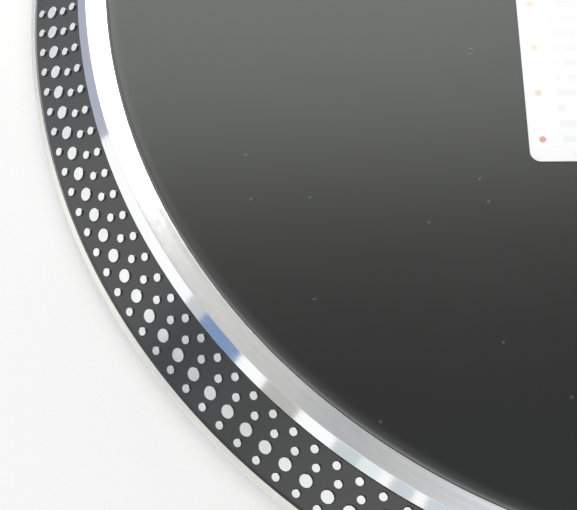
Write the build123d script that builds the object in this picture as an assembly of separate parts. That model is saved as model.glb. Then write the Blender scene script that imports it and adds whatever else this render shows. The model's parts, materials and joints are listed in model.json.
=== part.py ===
from build123d import *
import math
import os

# Millimetres, +Z up. The origin is on the floor under the middle of the plinth.
# +X points to the right of a person in front of the player, and +Y to its rear.

# Platter, as seen in the photograph
PLATTER_RADIUS = 165.8
FLANGE_EDGE = 1.6
LIP_RUN = 1.06
LIP_RISE = 1.14
BAND_ANGLE = 42.33
BAND_WIDTH = 15.75
BAND_THICKNESS = 0.6
BEVEL_RUN = 2.09
BEVEL_RISE = 2.6
RING_WIDTH = 4.75
MAT_RECESS = 2.4
MAT_THICKNESS = 3.2
MAT_EDGE_ROUND = 0.8
MAT_GAP = 0.1
DECK_THICKNESS = 4.5
SKIRT_WIDTH = 7.0
HUB_RADIUS = 24.0
HUB_DEPTH = 5.4
RIM_GAP = 2.4

# Strobe dots: each row's place from the band's outer edge, its count and its first dot's angle
DOT_HEIGHT = 0.4
DOT_LARGE = 1.53
DOT_SMALL = 0.96
SLOW_PLACE = 2.61
SLOW_COUNT = 186
SLOW_ANGLE = 0.404
TRUE_PLACE = 6.41
TRUE_COUNT = 180
TRUE_ANGLE = 0.857
FAST_PLACE = 10.27
FAST_COUNT = 174
FAST_ANGLE = 1.343
FASTEST_PLACE = 13.57
FASTEST_COUNT = 170
FASTEST_ANGLE = 1.421

# Blank card on the mat
CARD_WIDTH = 100.4
CARD_LENGTH = 109.6
CARD_THICKNESS = 0.3
CARD_CORNER = 2.5

# Plinth
RIM_MARGIN = 14.5
REAR_MARGIN = 6.9
ARM_BAY = 106.9
PLINTH_CORNER = 14.0
CASING_HEIGHT = 42.0
CASING_WALL = 5.0
CASING_TOP = 5.0
CASING_EDGE = 3.0
BASE_HEIGHT = 26.0
BASE_WALL = 9.0
BASE_FLOOR = 6.0
BASE_INSET = 1.5
BASE_EDGE = 2.0
BOSS_RADIUS = 6.0
BOSS_INSET = 13.0
BOSS_SPREAD = 80.0
BOSS_MIDDLE_X = 20.0
BOSS_CORNER_X = 130.0
PLATE_THICKNESS = 2.0
PLATE_REAR_INSET = 26.0
PLATE_FOOT_GAP = 8.0

# Feet
FOOT_HEIGHT = 24.0
FOOT_RADIUS = 29.0
FOOT_INSET = 46.0
FOOT_PAD = 5.0
FOOT_PAD_STEP = 3.0
FOOT_NECK = 22.0
FOOT_STUD_RADIUS = 3.0
FOOT_STUD_LENGTH = 13.0
FOOT_BOSS_RADIUS = 9.0
FOOT_BOSS_HEIGHT = 9.0

# Screws
SCREW_RADIUS = 2.0
SCREW_HEAD_RADIUS = 3.6
SCREW_HEAD = 2.4
SCREW_BITE = 12.0
SMALL_SCREW_RADIUS = 1.5
SMALL_HEAD_RADIUS = 2.6
SMALL_HEAD = 1.8
SMALL_BITE = 3.0

# Fits
RUNNING_FIT = 0.04
SLIDE_GAP = 0.4
PART_GAP = 0.3

# Motor and main bearing
WELL_RADIUS = 128.0
WELL_WALL = 4.0
WELL_DEPTH = 14.0
WELL_FLOOR = 4.0
BEARING_RADIUS = 11.0
BEARING_BORE = 8.0
BEARING_DROP = 34.0
BEARING_CAP = 2.0
BEARING_FLANGE_RADIUS = 22.0
BEARING_FLANGE = 4.0
BEARING_SHOULDER_RADIUS = 15.0
BEARING_SHOULDER = 2.0
BEARING_SCREW_CIRCLE = 18.5
BEARING_SCREWS = 3
BUSH_LENGTH = 12.0
THRUST_PAD = 2.0
SHAFT_RADIUS = 5.0
SPINDLE_FLANGE_RADIUS = 16.0
SPINDLE_FLANGE = 3.0
SPINDLE_NECK_RADIUS = 8.0
PIN_RADIUS = 3.57
PIN_ROOT_RADIUS = 4.2
PIN_RISE = 12.7
PIN_TIP = 2.0
STATOR_RADIUS = 45.0
STATOR_RING = 26.0
STATOR_HEIGHT = 8.0
TEETH = 12
TOOTH_WIDTH = 7.0
COIL_WALL = 2.2
COIL_INNER = 28.0
COIL_OUTER = 38.0
STATOR_BOARD_RADIUS = 62.0
STATOR_BOARD_BORE = 23.0
BOARD_THICKNESS = 1.6
AIR_GAP = 1.0
MAGNET_WALL = 9.0
MAGNET_HEIGHT = 13.0
YOKE_WALL = 3.0
YOKE_TOP = 2.0
YOKE_RIM = 26.0
ROTOR_CLEARANCE = 2.4

# Electronics
MAIN_BOARD_LENGTH = 120.0
MAIN_BOARD_WIDTH = 90.0
MAIN_BOARD_MARGIN = 21.5
MAIN_BOARD_FRONT = 64.5
STANDOFF_RADIUS = 4.0
STANDOFF_HEIGHT = 8.0
STANDOFF_INSET = 6.0
CHIP_SIZE = 14.0
CHIP_HEIGHT = 2.5
CHIP_SHIFT = 5.5
CHIPS = 2
CAPACITOR_RADIUS = 6.0
CAPACITOR_HEIGHT = 18.0
CAPACITOR_PITCH = 16.0
CAPACITORS = 3
HEAT_SINK_LENGTH = 40.0
HEAT_SINK_WIDTH = 12.0
HEAT_SINK_HEIGHT = 22.0
CORE_LENGTH = 64.0
CORE_WIDTH = 30.0
CORE_HEIGHT = 34.0
WINDING_LENGTH = 40.0
WINDING_WIDTH = 54.0
WINDING_HEIGHT = 26.0
CORE_LEFT = 76.0
CORE_REAR = 92.0

# Rear terminals
TERMINAL_LEFT = 102.0
TERMINAL_WIDTH = 120.0
TERMINAL_HEIGHT = 24.0
TERMINAL_RECESS = 7.0
TERMINAL_SHEET = 2.0
TERMINAL_LIP = 5.0
JACK_RADIUS = 4.15
JACK_LENGTH = 9.0
JACK_BORE = 1.7
JACK_BASE_RADIUS = 6.0
JACK_BASE = 1.5
JACK_TAIL_RADIUS = 3.0
JACK_TAIL = 8.0
JACK_EDGE = 20.0
JACK_PITCH = 18.0
SIGNAL_JACKS = 2
GROUND_RADIUS = 3.5
INLET_WIDTH = 24.0
INLET_HEIGHT = 15.0
INLET_DEPTH = 16.0
INLET_MOUTH_WIDTH = 17.0
INLET_MOUTH_HEIGHT = 9.4
INLET_MOUTH_DEPTH = 12.0
INLET_FLANGE = 1.5
INLET_FLANGE_LIP = 2.0
INLET_EDGE = 26.0
PRONG_RADIUS = 1.2
PRONG_PITCH = 8.6
PRONG_LENGTH = 9.0

# Buttons: width and depth of each cap
BUTTON_MARGIN = 11.0
START_SIZE = 30.0
SPEED_WIDTH = 24.0
SPEED_DEPTH = 12.0
SPEED_GAP = 7.0
START_TO_SPEED = 8.0
BUTTON_PROUD = 2.2
BUTTON_ROUND = 1.0
BUTTON_LIP = 1.2
BUTTON_LIP_HEIGHT = 1.6
BUTTON_TRAVEL = 1.2
SWITCH_WALL = 1.2
SWITCH_ROOM = 0.8
SWITCH_DEPTH = 9.0
SWITCH_NUB = 6.0

# Pitch fader
FADER_MARGIN = 22.0
FADER_FRONT = 18.5
FADER_TRAVEL = 100.0
FADER_PLATE_WIDTH = 30.0
FADER_PLATE_END = 12.0
FADER_PLATE = 1.2
FADER_PLATE_CORNER = 3.0
FADER_SLOT = 5.0
FADER_BODY_WIDTH = 16.0
FADER_BODY_DEPTH = 15.0
FADER_BODY_FLOOR = 3.0
FADER_STEM_WIDTH = 3.0
FADER_STEM_LENGTH = 6.0
FADER_KNOB_WIDTH = 22.0
FADER_KNOB_LENGTH = 14.0
FADER_KNOB_HEIGHT = 9.0
FADER_KNOB_DIP = 2.0
FADER_KNOB_ROUND = 1.2

# Strobe lamp pillar with the power knob on top
STROBE_ANGLE = -59.7
STROBE_GAP = 7.4
STROBE_RADIUS = 13.0
STROBE_WALL = 2.5
STROBE_HEIGHT = 16.0
STROBE_ROOF = 2.5
WINDOW_WIDTH = 12.0
WINDOW_HEIGHT = 6.0
WINDOW_SILL = 4.0
POWER_KNOB_RADIUS = 12.0
POWER_KNOB_HEIGHT = 9.0
POWER_KNOB_ROUND = 1.0
POWER_SHAFT_RADIUS = 3.0
POWER_SHAFT_DEPTH = 4.0
POWER_SWITCH_RADIUS = 7.0
POWER_SWITCH_HEIGHT = 8.0
WIRE_HOLE = 8.0

# Tonearm base
ARM_ANGLE = 24.3
ARM_CLEAR = 7.2
ARM_BASE_RADIUS = 42.0
ARM_BASE_FLANGE = 5.0
ARM_COLLAR_WALL = 5.0
ARM_COLLAR_DROP = 18.0
ARM_BASE_SCREWS = 3
ARM_SCREW_TURN = 30.0
CARRIER_RADIUS = 26.0
CARRIER_PLATE = 5.0
CARRIER_HUB_RADIUS = 27.5
CARRIER_LEFT = 14.0
CARRIER_RIGHT = 44.0
CARRIER_FRONT = 82.0
CARRIER_CORNER = 9.0
CARRIER_DROP = 16.0
HEIGHT_RING_WALL = 7.0
HEIGHT_RING_HEIGHT = 9.7
BEARING_RING_WALL = 4.0
BEARING_RING_HEIGHT = 6.0

# Tonearm
RECORD_THICKNESS = 1.6
STYLUS_DROP = 21.0
OVERHANG = 15.0
OFFSET_ANGLE = 22.0
YOKE_SHAFT_RADIUS = 6.0
YOKE_DISC_RADIUS = 21.0
YOKE_DISC = 2.8
YOKE_SIDE = 5.0
YOKE_ROOM = 2.5
YOKE_SIDE_RADIUS = 7.0
BLOCK_WIDTH = 27.0
BLOCK_LENGTH = 24.0
BLOCK_HEIGHT = 18.0
BLOCK_ROUND = 3.0
PIVOT_SCREW_RADIUS = 3.0
PIVOT_PIN_RADIUS = 2.0
PIVOT_PIN_LENGTH = 3.0
PIVOT_HEAD = 1.5
PIVOT_HEAD_RADIUS = 4.5
PIVOT_SOCKET = 4.0
TUBE_RADIUS = 5.0
TUBE_WALL = 0.8
TUBE_SOCKET = 6.0
TUBE_STRAIGHT = 84.0
TUBE_LEAD = 25.0
TUBE_REAR_BEND = 80.0
TUBE_FRONT_BEND = 45.0
HEADSHELL_REACH = 50.0
COLLAR_LENGTH = 17.0
COLLAR_RADIUS = 8.5
COLLAR_OVERLAP = 8.0
STUB_RADIUS = 6.0
STUB_LENGTH = 62.0

# Counterweight
WEIGHT_RADIUS = 16.0
WEIGHT_LENGTH = 23.0
WEIGHT_START = 30.0
WEIGHT_EDGE = 1.5
BUSH_WALL = 3.0
DIAL_LENGTH = 7.7
DIAL_EDGE = 0.8

# Headshell and cartridge
SHELL_PLUG_RADIUS = 4.6
SHELL_NECK_RADIUS = 6.0
SHELL_NECK_LENGTH = 6.0
SHELL_LENGTH = 58.0
SHELL_REAR_WIDTH = 12.0
SHELL_FRONT_WIDTH = 19.0
SHELL_SHOULDER = 24.0
SHELL_THICKNESS = 3.0
SHELL_SCREW_PITCH = 12.7
SHELL_SCREW_PLACE = 43.0
SHELL_SCREW_RADIUS = 1.25
SHELL_SCREW_HEAD_RADIUS = 2.2
SHELL_SCREW_HEAD = 1.6
FINGER_RADIUS = 1.0
FINGER_PLACE = 46.0
FINGER_OUT = 16.0
FINGER_FORWARD = 10.0
FINGER_UP = 3.0
FINGER_BEND = 4.0
CARTRIDGE_WIDTH = 16.8
CARTRIDGE_REAR = 34.0
CARTRIDGE_FRONT = 55.0
CARTRIDGE_HEIGHT = 12.0
CARTRIDGE_NOSE = 5.0
HOLDER_WIDTH = 9.0
HOLDER_LENGTH = 14.0
HOLDER_HEIGHT = 3.0
CANTILEVER_RADIUS = 0.35
TIP_RADIUS = 0.3
TIP_POINT = 0.075

# Cue lever, lift, anti-skate dial and arm rest
LIFT_REACH = 44.0
LIFT_WIDTH = 5.0
LIFT_BAR = 3.0
LIFT_FIRST = 214.0
LIFT_LAST = 273.0
LIFT_POST_ANGLE = 265.0
LIFT_POST_RADIUS = 3.0
LIFT_TRAVEL = 5.0
LIFT_BOSS_RADIUS = 6.0
LIFT_BOSS_HEIGHT = 5.0
CUE_X = 34.0
CUE_Y = 50.0
CUE_AXIS_RISE = 9.0
CUE_BRACKET_WIDTH = 7.0
CUE_BRACKET_LENGTH = 12.0
CUE_PIN_RADIUS = 2.5
CUE_HUB_RADIUS = 5.0
CUE_HUB_WIDTH = 5.0
CUE_LENGTH = 42.0
CUE_BAR_RADIUS = 2.0
CUE_TIP_RADIUS = 3.2
CUE_TIP_LENGTH = 12.0
CUE_SLOPE = 12.0
SKATE_X = 29.0
SKATE_Y = 17.0
SKATE_RADIUS = 11.0
SKATE_HEIGHT = 9.0
SKATE_SHAFT_RADIUS = 3.0
REST_REACH = 55.0
REST_POST_RADIUS = 5.0
REST_WIDTH = 8.0
REST_FLOOR = 4.0
REST_WALL = 4.0
REST_LEFT = 7.0
CLIP_ROOM = 0.8
CLIP_THICKNESS = 1.8
CLIP_PIN_RADIUS = 1.5
CLIP_EYE_RADIUS = 3.0
CLIP_OPEN = 95.0

# Heights
base_bottom = FOOT_HEIGHT
base_floor = base_bottom + BASE_FLOOR
casing_bottom = base_bottom + BASE_HEIGHT
plinth_top = casing_bottom + CASING_HEIGHT
casing_roof = plinth_top - CASING_TOP
well_floor = plinth_top - WELL_DEPTH
band_rise = BAND_WIDTH * math.sin(math.radians(BAND_ANGLE))
band_run = BAND_WIDTH * math.cos(math.radians(BAND_ANGLE))
platter_bottom = plinth_top + RIM_GAP
lip_z = platter_bottom + FLANGE_EDGE
band_low = lip_z + LIP_RISE
band_high = band_low + band_rise
ring_z = band_high + BEVEL_RISE
deck_top = ring_z - MAT_RECESS
deck_bottom = deck_top - DECK_THICKNESS
hub_bottom = deck_bottom - HUB_DEPTH
mat_top = deck_top + MAT_THICKNESS
card_top = mat_top + CARD_THICKNESS
pin_top = card_top + PIN_RISE
arm_z = mat_top + RECORD_THICKNESS + STYLUS_DROP

# Plan
band_outer = PLATTER_RADIUS - LIP_RUN
band_inner = band_outer - band_run
ring_outer = band_inner - BEVEL_RUN
ring_inner = ring_outer - RING_WIDTH
plinth_width = RIM_MARGIN + 2 * PLATTER_RADIUS + ARM_BAY
plinth_depth = RIM_MARGIN + 2 * PLATTER_RADIUS + REAR_MARGIN
left = -plinth_width / 2
right = plinth_width / 2
front = -plinth_depth / 2
rear = plinth_depth / 2
spindle = (left + RIM_MARGIN + PLATTER_RADIUS, front + RIM_MARGIN + PLATTER_RADIUS)
pivot_reach = PLATTER_RADIUS + ARM_CLEAR + ARM_BASE_RADIUS
arm_length = pivot_reach + OVERHANG


def polar(centre, reach, angle):
    """Point at a distance and an angle in degrees from a centre."""
    turn = math.radians(angle)
    return centre[0] + reach * math.cos(turn), centre[1] + reach * math.sin(turn)


pivot = polar(spindle, pivot_reach, ARM_ANGLE)
strobe = polar(spindle, PLATTER_RADIUS + STROBE_GAP + STROBE_RADIUS, STROBE_ANGLE)
fader_x = right - FADER_MARGIN
fader_length = FADER_TRAVEL + FADER_KNOB_LENGTH + FADER_PLATE_END
fader_y = front + FADER_FRONT + fader_length / 2

STANDING = (Align.CENTER, Align.CENTER, Align.MIN)
FROM_CORNER = (Align.MIN, Align.MIN, Align.MIN)


def post(radius, low, high, at=(0.0, 0.0)):
    """Upright cylinder between two heights."""
    return Pos(at[0], at[1], low) * Cylinder(radius, high - low, align=STANDING)


def sleeve(outer, inner, low, high, at=(0.0, 0.0)):
    """Upright tube between two heights."""
    return post(outer, low, high, at) - post(inner, low, high, at)


def slab(x_span, y_span, z_span):
    """Box between two places along each axis."""
    size = (x_span[1] - x_span[0], y_span[1] - y_span[0], z_span[1] - z_span[0])
    return Pos(x_span[0], y_span[0], z_span[0]) * Box(*size, align=FROM_CORNER)


def centred(at, width, depth, low, high):
    """Box round an upright line."""
    return Pos(at[0], at[1], low) * Box(width, depth, high - low, align=STANDING)


def rounded(width, depth, low, high, corner, at=(0.0, 0.0)):
    """Upright block with rounded corners in plan."""
    return Pos(at[0], at[1], low) * extrude(RectangleRounded(width, depth, corner), high - low)


def turned(points, at=(0.0, 0.0), arc=360.0):
    """Solid of revolution about an upright line, from a profile of radius and height."""
    face = Plane.XZ * make_face(Polyline(*points, close=True))
    return Pos(at[0], at[1], 0.0) * revolve(face, Axis.Z, arc)


def lengthwise(radius, start, end, x, z):
    """Cylinder along Y between two places."""
    return Pos(x, start, z) * Rot(-90, 0, 0) * Cylinder(radius, end - start, align=STANDING)


def crosswise(radius, start, end, y, z):
    """Cylinder along X between two places."""
    return Pos(start, y, z) * Rot(0, 90, 0) * Cylinder(radius, end - start, align=STANDING)


# Fastening places
def casing_boss_places():
    """Seven upright screws that hold the casing to the base; one stands just behind the fader."""
    side = right - BOSS_INSET
    end = rear - BOSS_INSET
    behind_fader = fader_y + fader_length / 2 + 2 * BOSS_RADIUS
    sides = [(-side, -BOSS_SPREAD), (-side, BOSS_SPREAD), (side, behind_fader), (side, BOSS_SPREAD)]
    return sides + [(BOSS_MIDDLE_X, -end), (BOSS_CORNER_X, -end), (BOSS_MIDDLE_X, end)]


def foot_places():
    """The four feet by name."""
    side = right - FOOT_INSET
    end = rear - FOOT_INSET
    return {
        "front_left": (-side, -end),
        "front_right": (side, -end),
        "rear_left": (-side, end),
        "rear_right": (side, end),
    }


def bottom_plate_size():
    """Width and depth of the plate between the left and right feet."""
    width = plinth_width - 2 * (FOOT_INSET + FOOT_RADIUS + PLATE_FOOT_GAP)
    return width, plinth_depth - 2 * PLATE_REAR_INSET


def bottom_plate_screw_places():
    """Four screws near the corners of the bottom plate."""
    width, depth = bottom_plate_size()
    edge = 2 * SCREW_HEAD_RADIUS
    across = width / 2 - edge
    along = depth / 2 - edge
    return [(x, y) for x in (-across, across) for y in (-along, along)]


def bearing_screw_places():
    """Screws on the main bearing's flange."""
    return [polar(spindle, BEARING_SCREW_CIRCLE, 360 / BEARING_SCREWS * k) for k in range(BEARING_SCREWS)]


def arm_screw_places():
    """Screws on the tonearm base's flange."""
    reach = ARM_BASE_RADIUS - 2 * SMALL_HEAD_RADIUS
    return [polar(pivot, reach, ARM_SCREW_TURN + 360 / ARM_BASE_SCREWS * k) for k in range(ARM_BASE_SCREWS)]


def board_corner():
    """Front left corner of the main board."""
    return left + MAIN_BOARD_MARGIN, front + MAIN_BOARD_FRONT


def standoff_places():
    """Four standoffs under the main board."""
    x, y = board_corner()
    across = (x + STANDOFF_INSET, x + MAIN_BOARD_LENGTH - STANDOFF_INSET)
    along = (y + STANDOFF_INSET, y + MAIN_BOARD_WIDTH - STANDOFF_INSET)
    return [(a, b) for a in across for b in along]


def button_places():
    """Centre, width and depth of each button."""
    start_x = left + BUTTON_MARGIN + START_SIZE / 2
    start_y = front + BUTTON_MARGIN + START_SIZE / 2
    speed_x = start_x + START_SIZE / 2 + START_TO_SPEED + SPEED_WIDTH / 2
    speed_y = front + BUTTON_MARGIN + SPEED_DEPTH / 2
    next_x = speed_x + SPEED_WIDTH + SPEED_GAP
    return {
        "start_stop_button": ((start_x, start_y), START_SIZE, START_SIZE),
        "speed_33_button": ((speed_x, speed_y), SPEED_WIDTH, SPEED_DEPTH),
        "speed_45_button": ((next_x, speed_y), SPEED_WIDTH, SPEED_DEPTH),
    }


# Plinth
terminal_x = left + TERMINAL_LEFT
terminal_z = casing_bottom + CASING_HEIGHT / 2
terminal_back = rear - CASING_WALL - TERMINAL_RECESS


def top_casing():
    """Pale upper shell with the motor well, its bosses and its openings."""
    shell = rounded(plinth_width, plinth_depth, casing_bottom, plinth_top, PLINTH_CORNER)
    shell = fillet(shell.edges().group_by(Axis.Z)[-1], CASING_EDGE)
    inner = (plinth_width - 2 * CASING_WALL, plinth_depth - 2 * CASING_WALL)
    shell -= rounded(*inner, casing_bottom, casing_roof, PLINTH_CORNER - CASING_WALL)
    shell += post(WELL_RADIUS + WELL_WALL, well_floor - WELL_FLOOR, plinth_top, spindle)
    shell -= post(WELL_RADIUS, well_floor, plinth_top, spindle)
    shell -= post(BEARING_RADIUS, casing_bottom, plinth_top, spindle)
    for place in casing_boss_places():
        shell += post(BOSS_RADIUS, casing_bottom, casing_roof, place)
        shell -= post(SCREW_RADIUS, casing_bottom, casing_bottom + SCREW_BITE, place)
    for place in bearing_screw_places():
        shell -= post(SMALL_SCREW_RADIUS, well_floor - SMALL_BITE, well_floor, place)
    for place in arm_screw_places():
        shell -= post(SMALL_SCREW_RADIUS, plinth_top - SMALL_BITE, plinth_top, place)
    for at, width, depth in button_places().values():
        shell -= centred(at, width, depth, casing_bottom, plinth_top)
    shell -= post(CARRIER_RADIUS + ARM_COLLAR_WALL, casing_bottom, plinth_top, pivot)
    shell -= centred((fader_x, fader_y), FADER_SLOT, slot_length(), casing_bottom, plinth_top)
    shell -= post(WIRE_HOLE, casing_bottom, plinth_top, strobe)
    window = (terminal_x - TERMINAL_WIDTH / 2, terminal_x + TERMINAL_WIDTH / 2)
    heights = (terminal_z - TERMINAL_HEIGHT / 2, terminal_z + TERMINAL_HEIGHT / 2)
    return shell - slab(window, (rear - CASING_WALL, rear), heights)


def base_tray():
    """Heavy lower tray that carries the feet and the electronics."""
    width = plinth_width - 2 * BASE_INSET
    depth = plinth_depth - 2 * BASE_INSET
    corner = PLINTH_CORNER - BASE_INSET
    tray = rounded(width, depth, base_bottom, casing_bottom, corner)
    tray = fillet(tray.edges().group_by(Axis.Z)[0], BASE_EDGE)
    inner = (width - 2 * BASE_WALL, depth - 2 * BASE_WALL)
    tray -= rounded(*inner, base_floor, casing_bottom, corner - BASE_WALL)
    for place in casing_boss_places():
        tray += post(BOSS_RADIUS, base_floor, casing_bottom, place)
        tray -= post(SCREW_RADIUS, base_bottom, casing_bottom, place)
        tray -= post(SCREW_HEAD_RADIUS, base_bottom, base_bottom + SCREW_HEAD, place)
    for place in foot_places().values():
        tray += post(FOOT_BOSS_RADIUS, base_floor, base_floor + FOOT_BOSS_HEIGHT, place)
        tray -= post(FOOT_STUD_RADIUS + RUNNING_FIT, base_bottom, base_floor + FOOT_BOSS_HEIGHT, place)
    for place in bottom_plate_screw_places():
        tray -= post(SMALL_SCREW_RADIUS, base_bottom, base_bottom + SMALL_BITE, place)
    for place in standoff_places():
        tray += post(STANDOFF_RADIUS, base_floor, base_floor + STANDOFF_HEIGHT, place)
    return tray


def bottom_plate():
    """Steel plate under the tray, between the feet."""
    width, depth = bottom_plate_size()
    plate = rounded(width, depth, base_bottom - PLATE_THICKNESS, base_bottom, PLINTH_CORNER)
    for place in bottom_plate_screw_places():
        plate -= post(SMALL_SCREW_RADIUS, base_bottom - PLATE_THICKNESS, base_bottom, place)
    return plate


def screw_up(place, radius, head_radius, seat, head, tip):
    """Screw driven upwards, with its head under a seat."""
    return post(head_radius, seat - head, seat, place) + post(radius, seat, tip, place)


def screw_down(place, radius, head_radius, seat, head, tip):
    """Screw driven downwards, with its head on a seat."""
    return post(head_radius, seat, seat + head, place) + post(radius, tip, seat, place)


def casing_screws():
    """Every screw that holds the casing, the bottom plate, the bearing and the tonearm base."""
    large = (SCREW_RADIUS, SCREW_HEAD_RADIUS)
    small = (SMALL_SCREW_RADIUS, SMALL_HEAD_RADIUS)
    seat = base_bottom + SCREW_HEAD
    screws = [screw_up(p, *large, seat, SCREW_HEAD, casing_bottom + SCREW_BITE) for p in casing_boss_places()]
    seat = base_bottom - PLATE_THICKNESS
    tip = base_bottom + SMALL_BITE
    screws += [screw_up(p, *small, seat, SMALL_HEAD, tip) for p in bottom_plate_screw_places()]
    seat = well_floor + BEARING_FLANGE
    tip = well_floor - SMALL_BITE
    screws += [screw_down(p, *small, seat, SMALL_HEAD, tip) for p in bearing_screw_places()]
    seat = plinth_top + ARM_BASE_FLANGE - SMALL_HEAD
    tip = plinth_top - SMALL_BITE
    return screws + [screw_down(p, *small, seat, SMALL_HEAD, tip) for p in arm_screw_places()]


def foot(place):
    """Rubber pad, turned housing and threaded stud of one foot."""
    pad_radius = FOOT_RADIUS - FOOT_PAD_STEP
    groove = (FOOT_PAD + base_bottom) / 2
    side = FOOT_RADIUS
    profile = [(0, FOOT_PAD), (pad_radius, FOOT_PAD), (side, FOOT_PAD + FOOT_PAD_STEP), (side, groove)]
    profile += [(FOOT_NECK, base_bottom - FOOT_PAD_STEP), (FOOT_NECK, base_bottom), (0, base_bottom)]
    stud = post(FOOT_STUD_RADIUS, base_bottom, base_bottom + FOOT_STUD_LENGTH, place)
    return [post(pad_radius, 0, FOOT_PAD, place), turned(profile, place), stud]


# Motor and main bearing
bearing_top = hub_bottom - SPINDLE_FLANGE - SLIDE_GAP
bearing_bottom = well_floor - WELL_FLOOR - BEARING_DROP
thrust_top = bearing_bottom + BEARING_CAP + THRUST_PAD
stator_low = well_floor + BEARING_FLANGE + BEARING_SHOULDER
stator_high = stator_low + STATOR_HEIGHT
rotor_low = well_floor + BOARD_THICKNESS + ROTOR_CLEARANCE
magnet_inner = STATOR_RADIUS + AIR_GAP
magnet_outer = magnet_inner + MAGNET_WALL
yoke_outer = magnet_outer + YOKE_WALL


def bearing_housing():
    """Flanged tube of the main bearing, closed at the bottom."""
    body = post(BEARING_RADIUS, bearing_bottom, bearing_top, spindle)
    body += post(BEARING_FLANGE_RADIUS, well_floor, well_floor + BEARING_FLANGE, spindle)
    body += post(BEARING_SHOULDER_RADIUS, well_floor, stator_low, spindle)
    body -= post(BEARING_BORE, bearing_bottom + BEARING_CAP, bearing_top, spindle)
    for place in bearing_screw_places():
        body -= post(SMALL_SCREW_RADIUS, well_floor, well_floor + BEARING_FLANGE, place)
    return body


def bearing_bushes():
    """Upper and lower bronze bushes."""
    inner = SHAFT_RADIUS + RUNNING_FIT
    upper = sleeve(BEARING_BORE, inner, bearing_top - BUSH_LENGTH, bearing_top, spindle)
    return [sleeve(BEARING_BORE, inner, thrust_top, thrust_top + BUSH_LENGTH, spindle), upper]


def thrust_pad():
    """Pad under the end of the shaft."""
    return post(BEARING_BORE, bearing_bottom + BEARING_CAP, thrust_top, spindle)


def tooth_box(inner, outer, width, low, high):
    """Block along X between two radii."""
    return slab((inner, outer), (-width / 2, width / 2), (low, high))


def around_spindle(shape, count):
    """Copies of a shape turned evenly about the spindle."""
    return [Pos(*spindle, 0) * Rot(0, 0, 360 / count * k) * shape for k in range(count)]


def stator_core():
    """Laminated star of the motor, round the bearing tube."""
    core = post(STATOR_RING, stator_low, stator_high, spindle)
    for tooth in around_spindle(tooth_box(0, STATOR_RADIUS, TOOTH_WIDTH, stator_low, stator_high), TEETH):
        core += tooth
    return core - post(BEARING_RADIUS, stator_low, stator_high, spindle)


def stator_coils():
    """One winding on each tooth of the stator."""
    low = stator_low - COIL_WALL
    high = stator_high + COIL_WALL
    coil = tooth_box(COIL_INNER, COIL_OUTER, TOOTH_WIDTH + 2 * COIL_WALL, low, high)
    coil -= tooth_box(COIL_INNER, COIL_OUTER, TOOTH_WIDTH, stator_low, stator_high)
    return around_spindle(coil, TEETH)


def stator_board():
    """Round circuit board on the floor of the well."""
    return sleeve(STATOR_BOARD_RADIUS, STATOR_BOARD_BORE, well_floor, well_floor + BOARD_THICKNESS, spindle)


def rotor_magnet():
    """Ring magnet inside the yoke."""
    return sleeve(magnet_outer, magnet_inner, rotor_low, rotor_low + MAGNET_HEIGHT, spindle)


def rotor_yoke():
    """Steel cup that holds the magnet under the platter."""
    cup = post(yoke_outer, rotor_low, deck_bottom, spindle)
    cup -= post(magnet_outer, rotor_low, deck_bottom - YOKE_TOP, spindle)
    return cup - post(YOKE_RIM, deck_bottom - YOKE_TOP, deck_bottom, spindle)


def spindle_shaft():
    """Shaft, flange, neck and record pin, turned in one piece."""
    flange_low = hub_bottom - SPINDLE_FLANGE
    profile = [(0, thrust_top), (SHAFT_RADIUS, thrust_top), (SHAFT_RADIUS, flange_low)]
    profile += [(SPINDLE_FLANGE_RADIUS, flange_low), (SPINDLE_FLANGE_RADIUS, hub_bottom)]
    profile += [(SPINDLE_NECK_RADIUS, hub_bottom), (SPINDLE_NECK_RADIUS, deck_top)]
    profile += [(PIN_ROOT_RADIUS, deck_top), (PIN_ROOT_RADIUS, card_top), (PIN_RADIUS, card_top)]
    profile += [(PIN_RADIUS, pin_top - PIN_TIP), (PIN_RADIUS / 2, pin_top), (0, pin_top)]
    return turned(profile, spindle)


# Platter
slope_sin = math.sin(math.radians(BAND_ANGLE))
slope_cos = math.cos(math.radians(BAND_ANGLE))
seat_depth = BAND_THICKNESS + DOT_HEIGHT


def on_band(place, rise):
    """Radius and height of a point at a place along the strobe band and a rise above its dots' tops."""
    radius = band_outer - place * slope_cos + rise * slope_sin
    return radius, band_low + place * slope_sin + rise * slope_cos


def platter():
    """Cast platter: flange, seat for the band, polished bevel, flat ring, mat recess and hub."""
    skirt_inner = PLATTER_RADIUS - SKIRT_WIDTH
    skirt_top = skirt_inner - (deck_bottom - platter_bottom) * slope_cos / slope_sin
    outside = [(skirt_inner, platter_bottom), (PLATTER_RADIUS, platter_bottom), (PLATTER_RADIUS, lip_z)]
    seat = [on_band(0, 0), on_band(0, -seat_depth)]
    seat += [on_band(BAND_WIDTH, -seat_depth), on_band(BAND_WIDTH, 0)]
    top = [(ring_outer, ring_z), (ring_inner, ring_z), (ring_inner, deck_top)]
    top += [(SPINDLE_NECK_RADIUS, deck_top)]
    hub = [(SPINDLE_NECK_RADIUS, hub_bottom), (HUB_RADIUS, hub_bottom), (HUB_RADIUS, deck_bottom)]
    return turned(outside + seat + top + hub + [(skirt_top, deck_bottom)], spindle)


def strobe_band():
    """Black sloping band, sunk between its edges so that the dots' tops are level with the metal."""
    far = BAND_WIDTH - DOT_HEIGHT
    sunk = [on_band(0, 0), on_band(DOT_HEIGHT, -DOT_HEIGHT), on_band(far, -DOT_HEIGHT), on_band(BAND_WIDTH, 0)]
    return turned(sunk + [on_band(BAND_WIDTH, -seat_depth), on_band(0, -seat_depth)], spindle)


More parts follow.
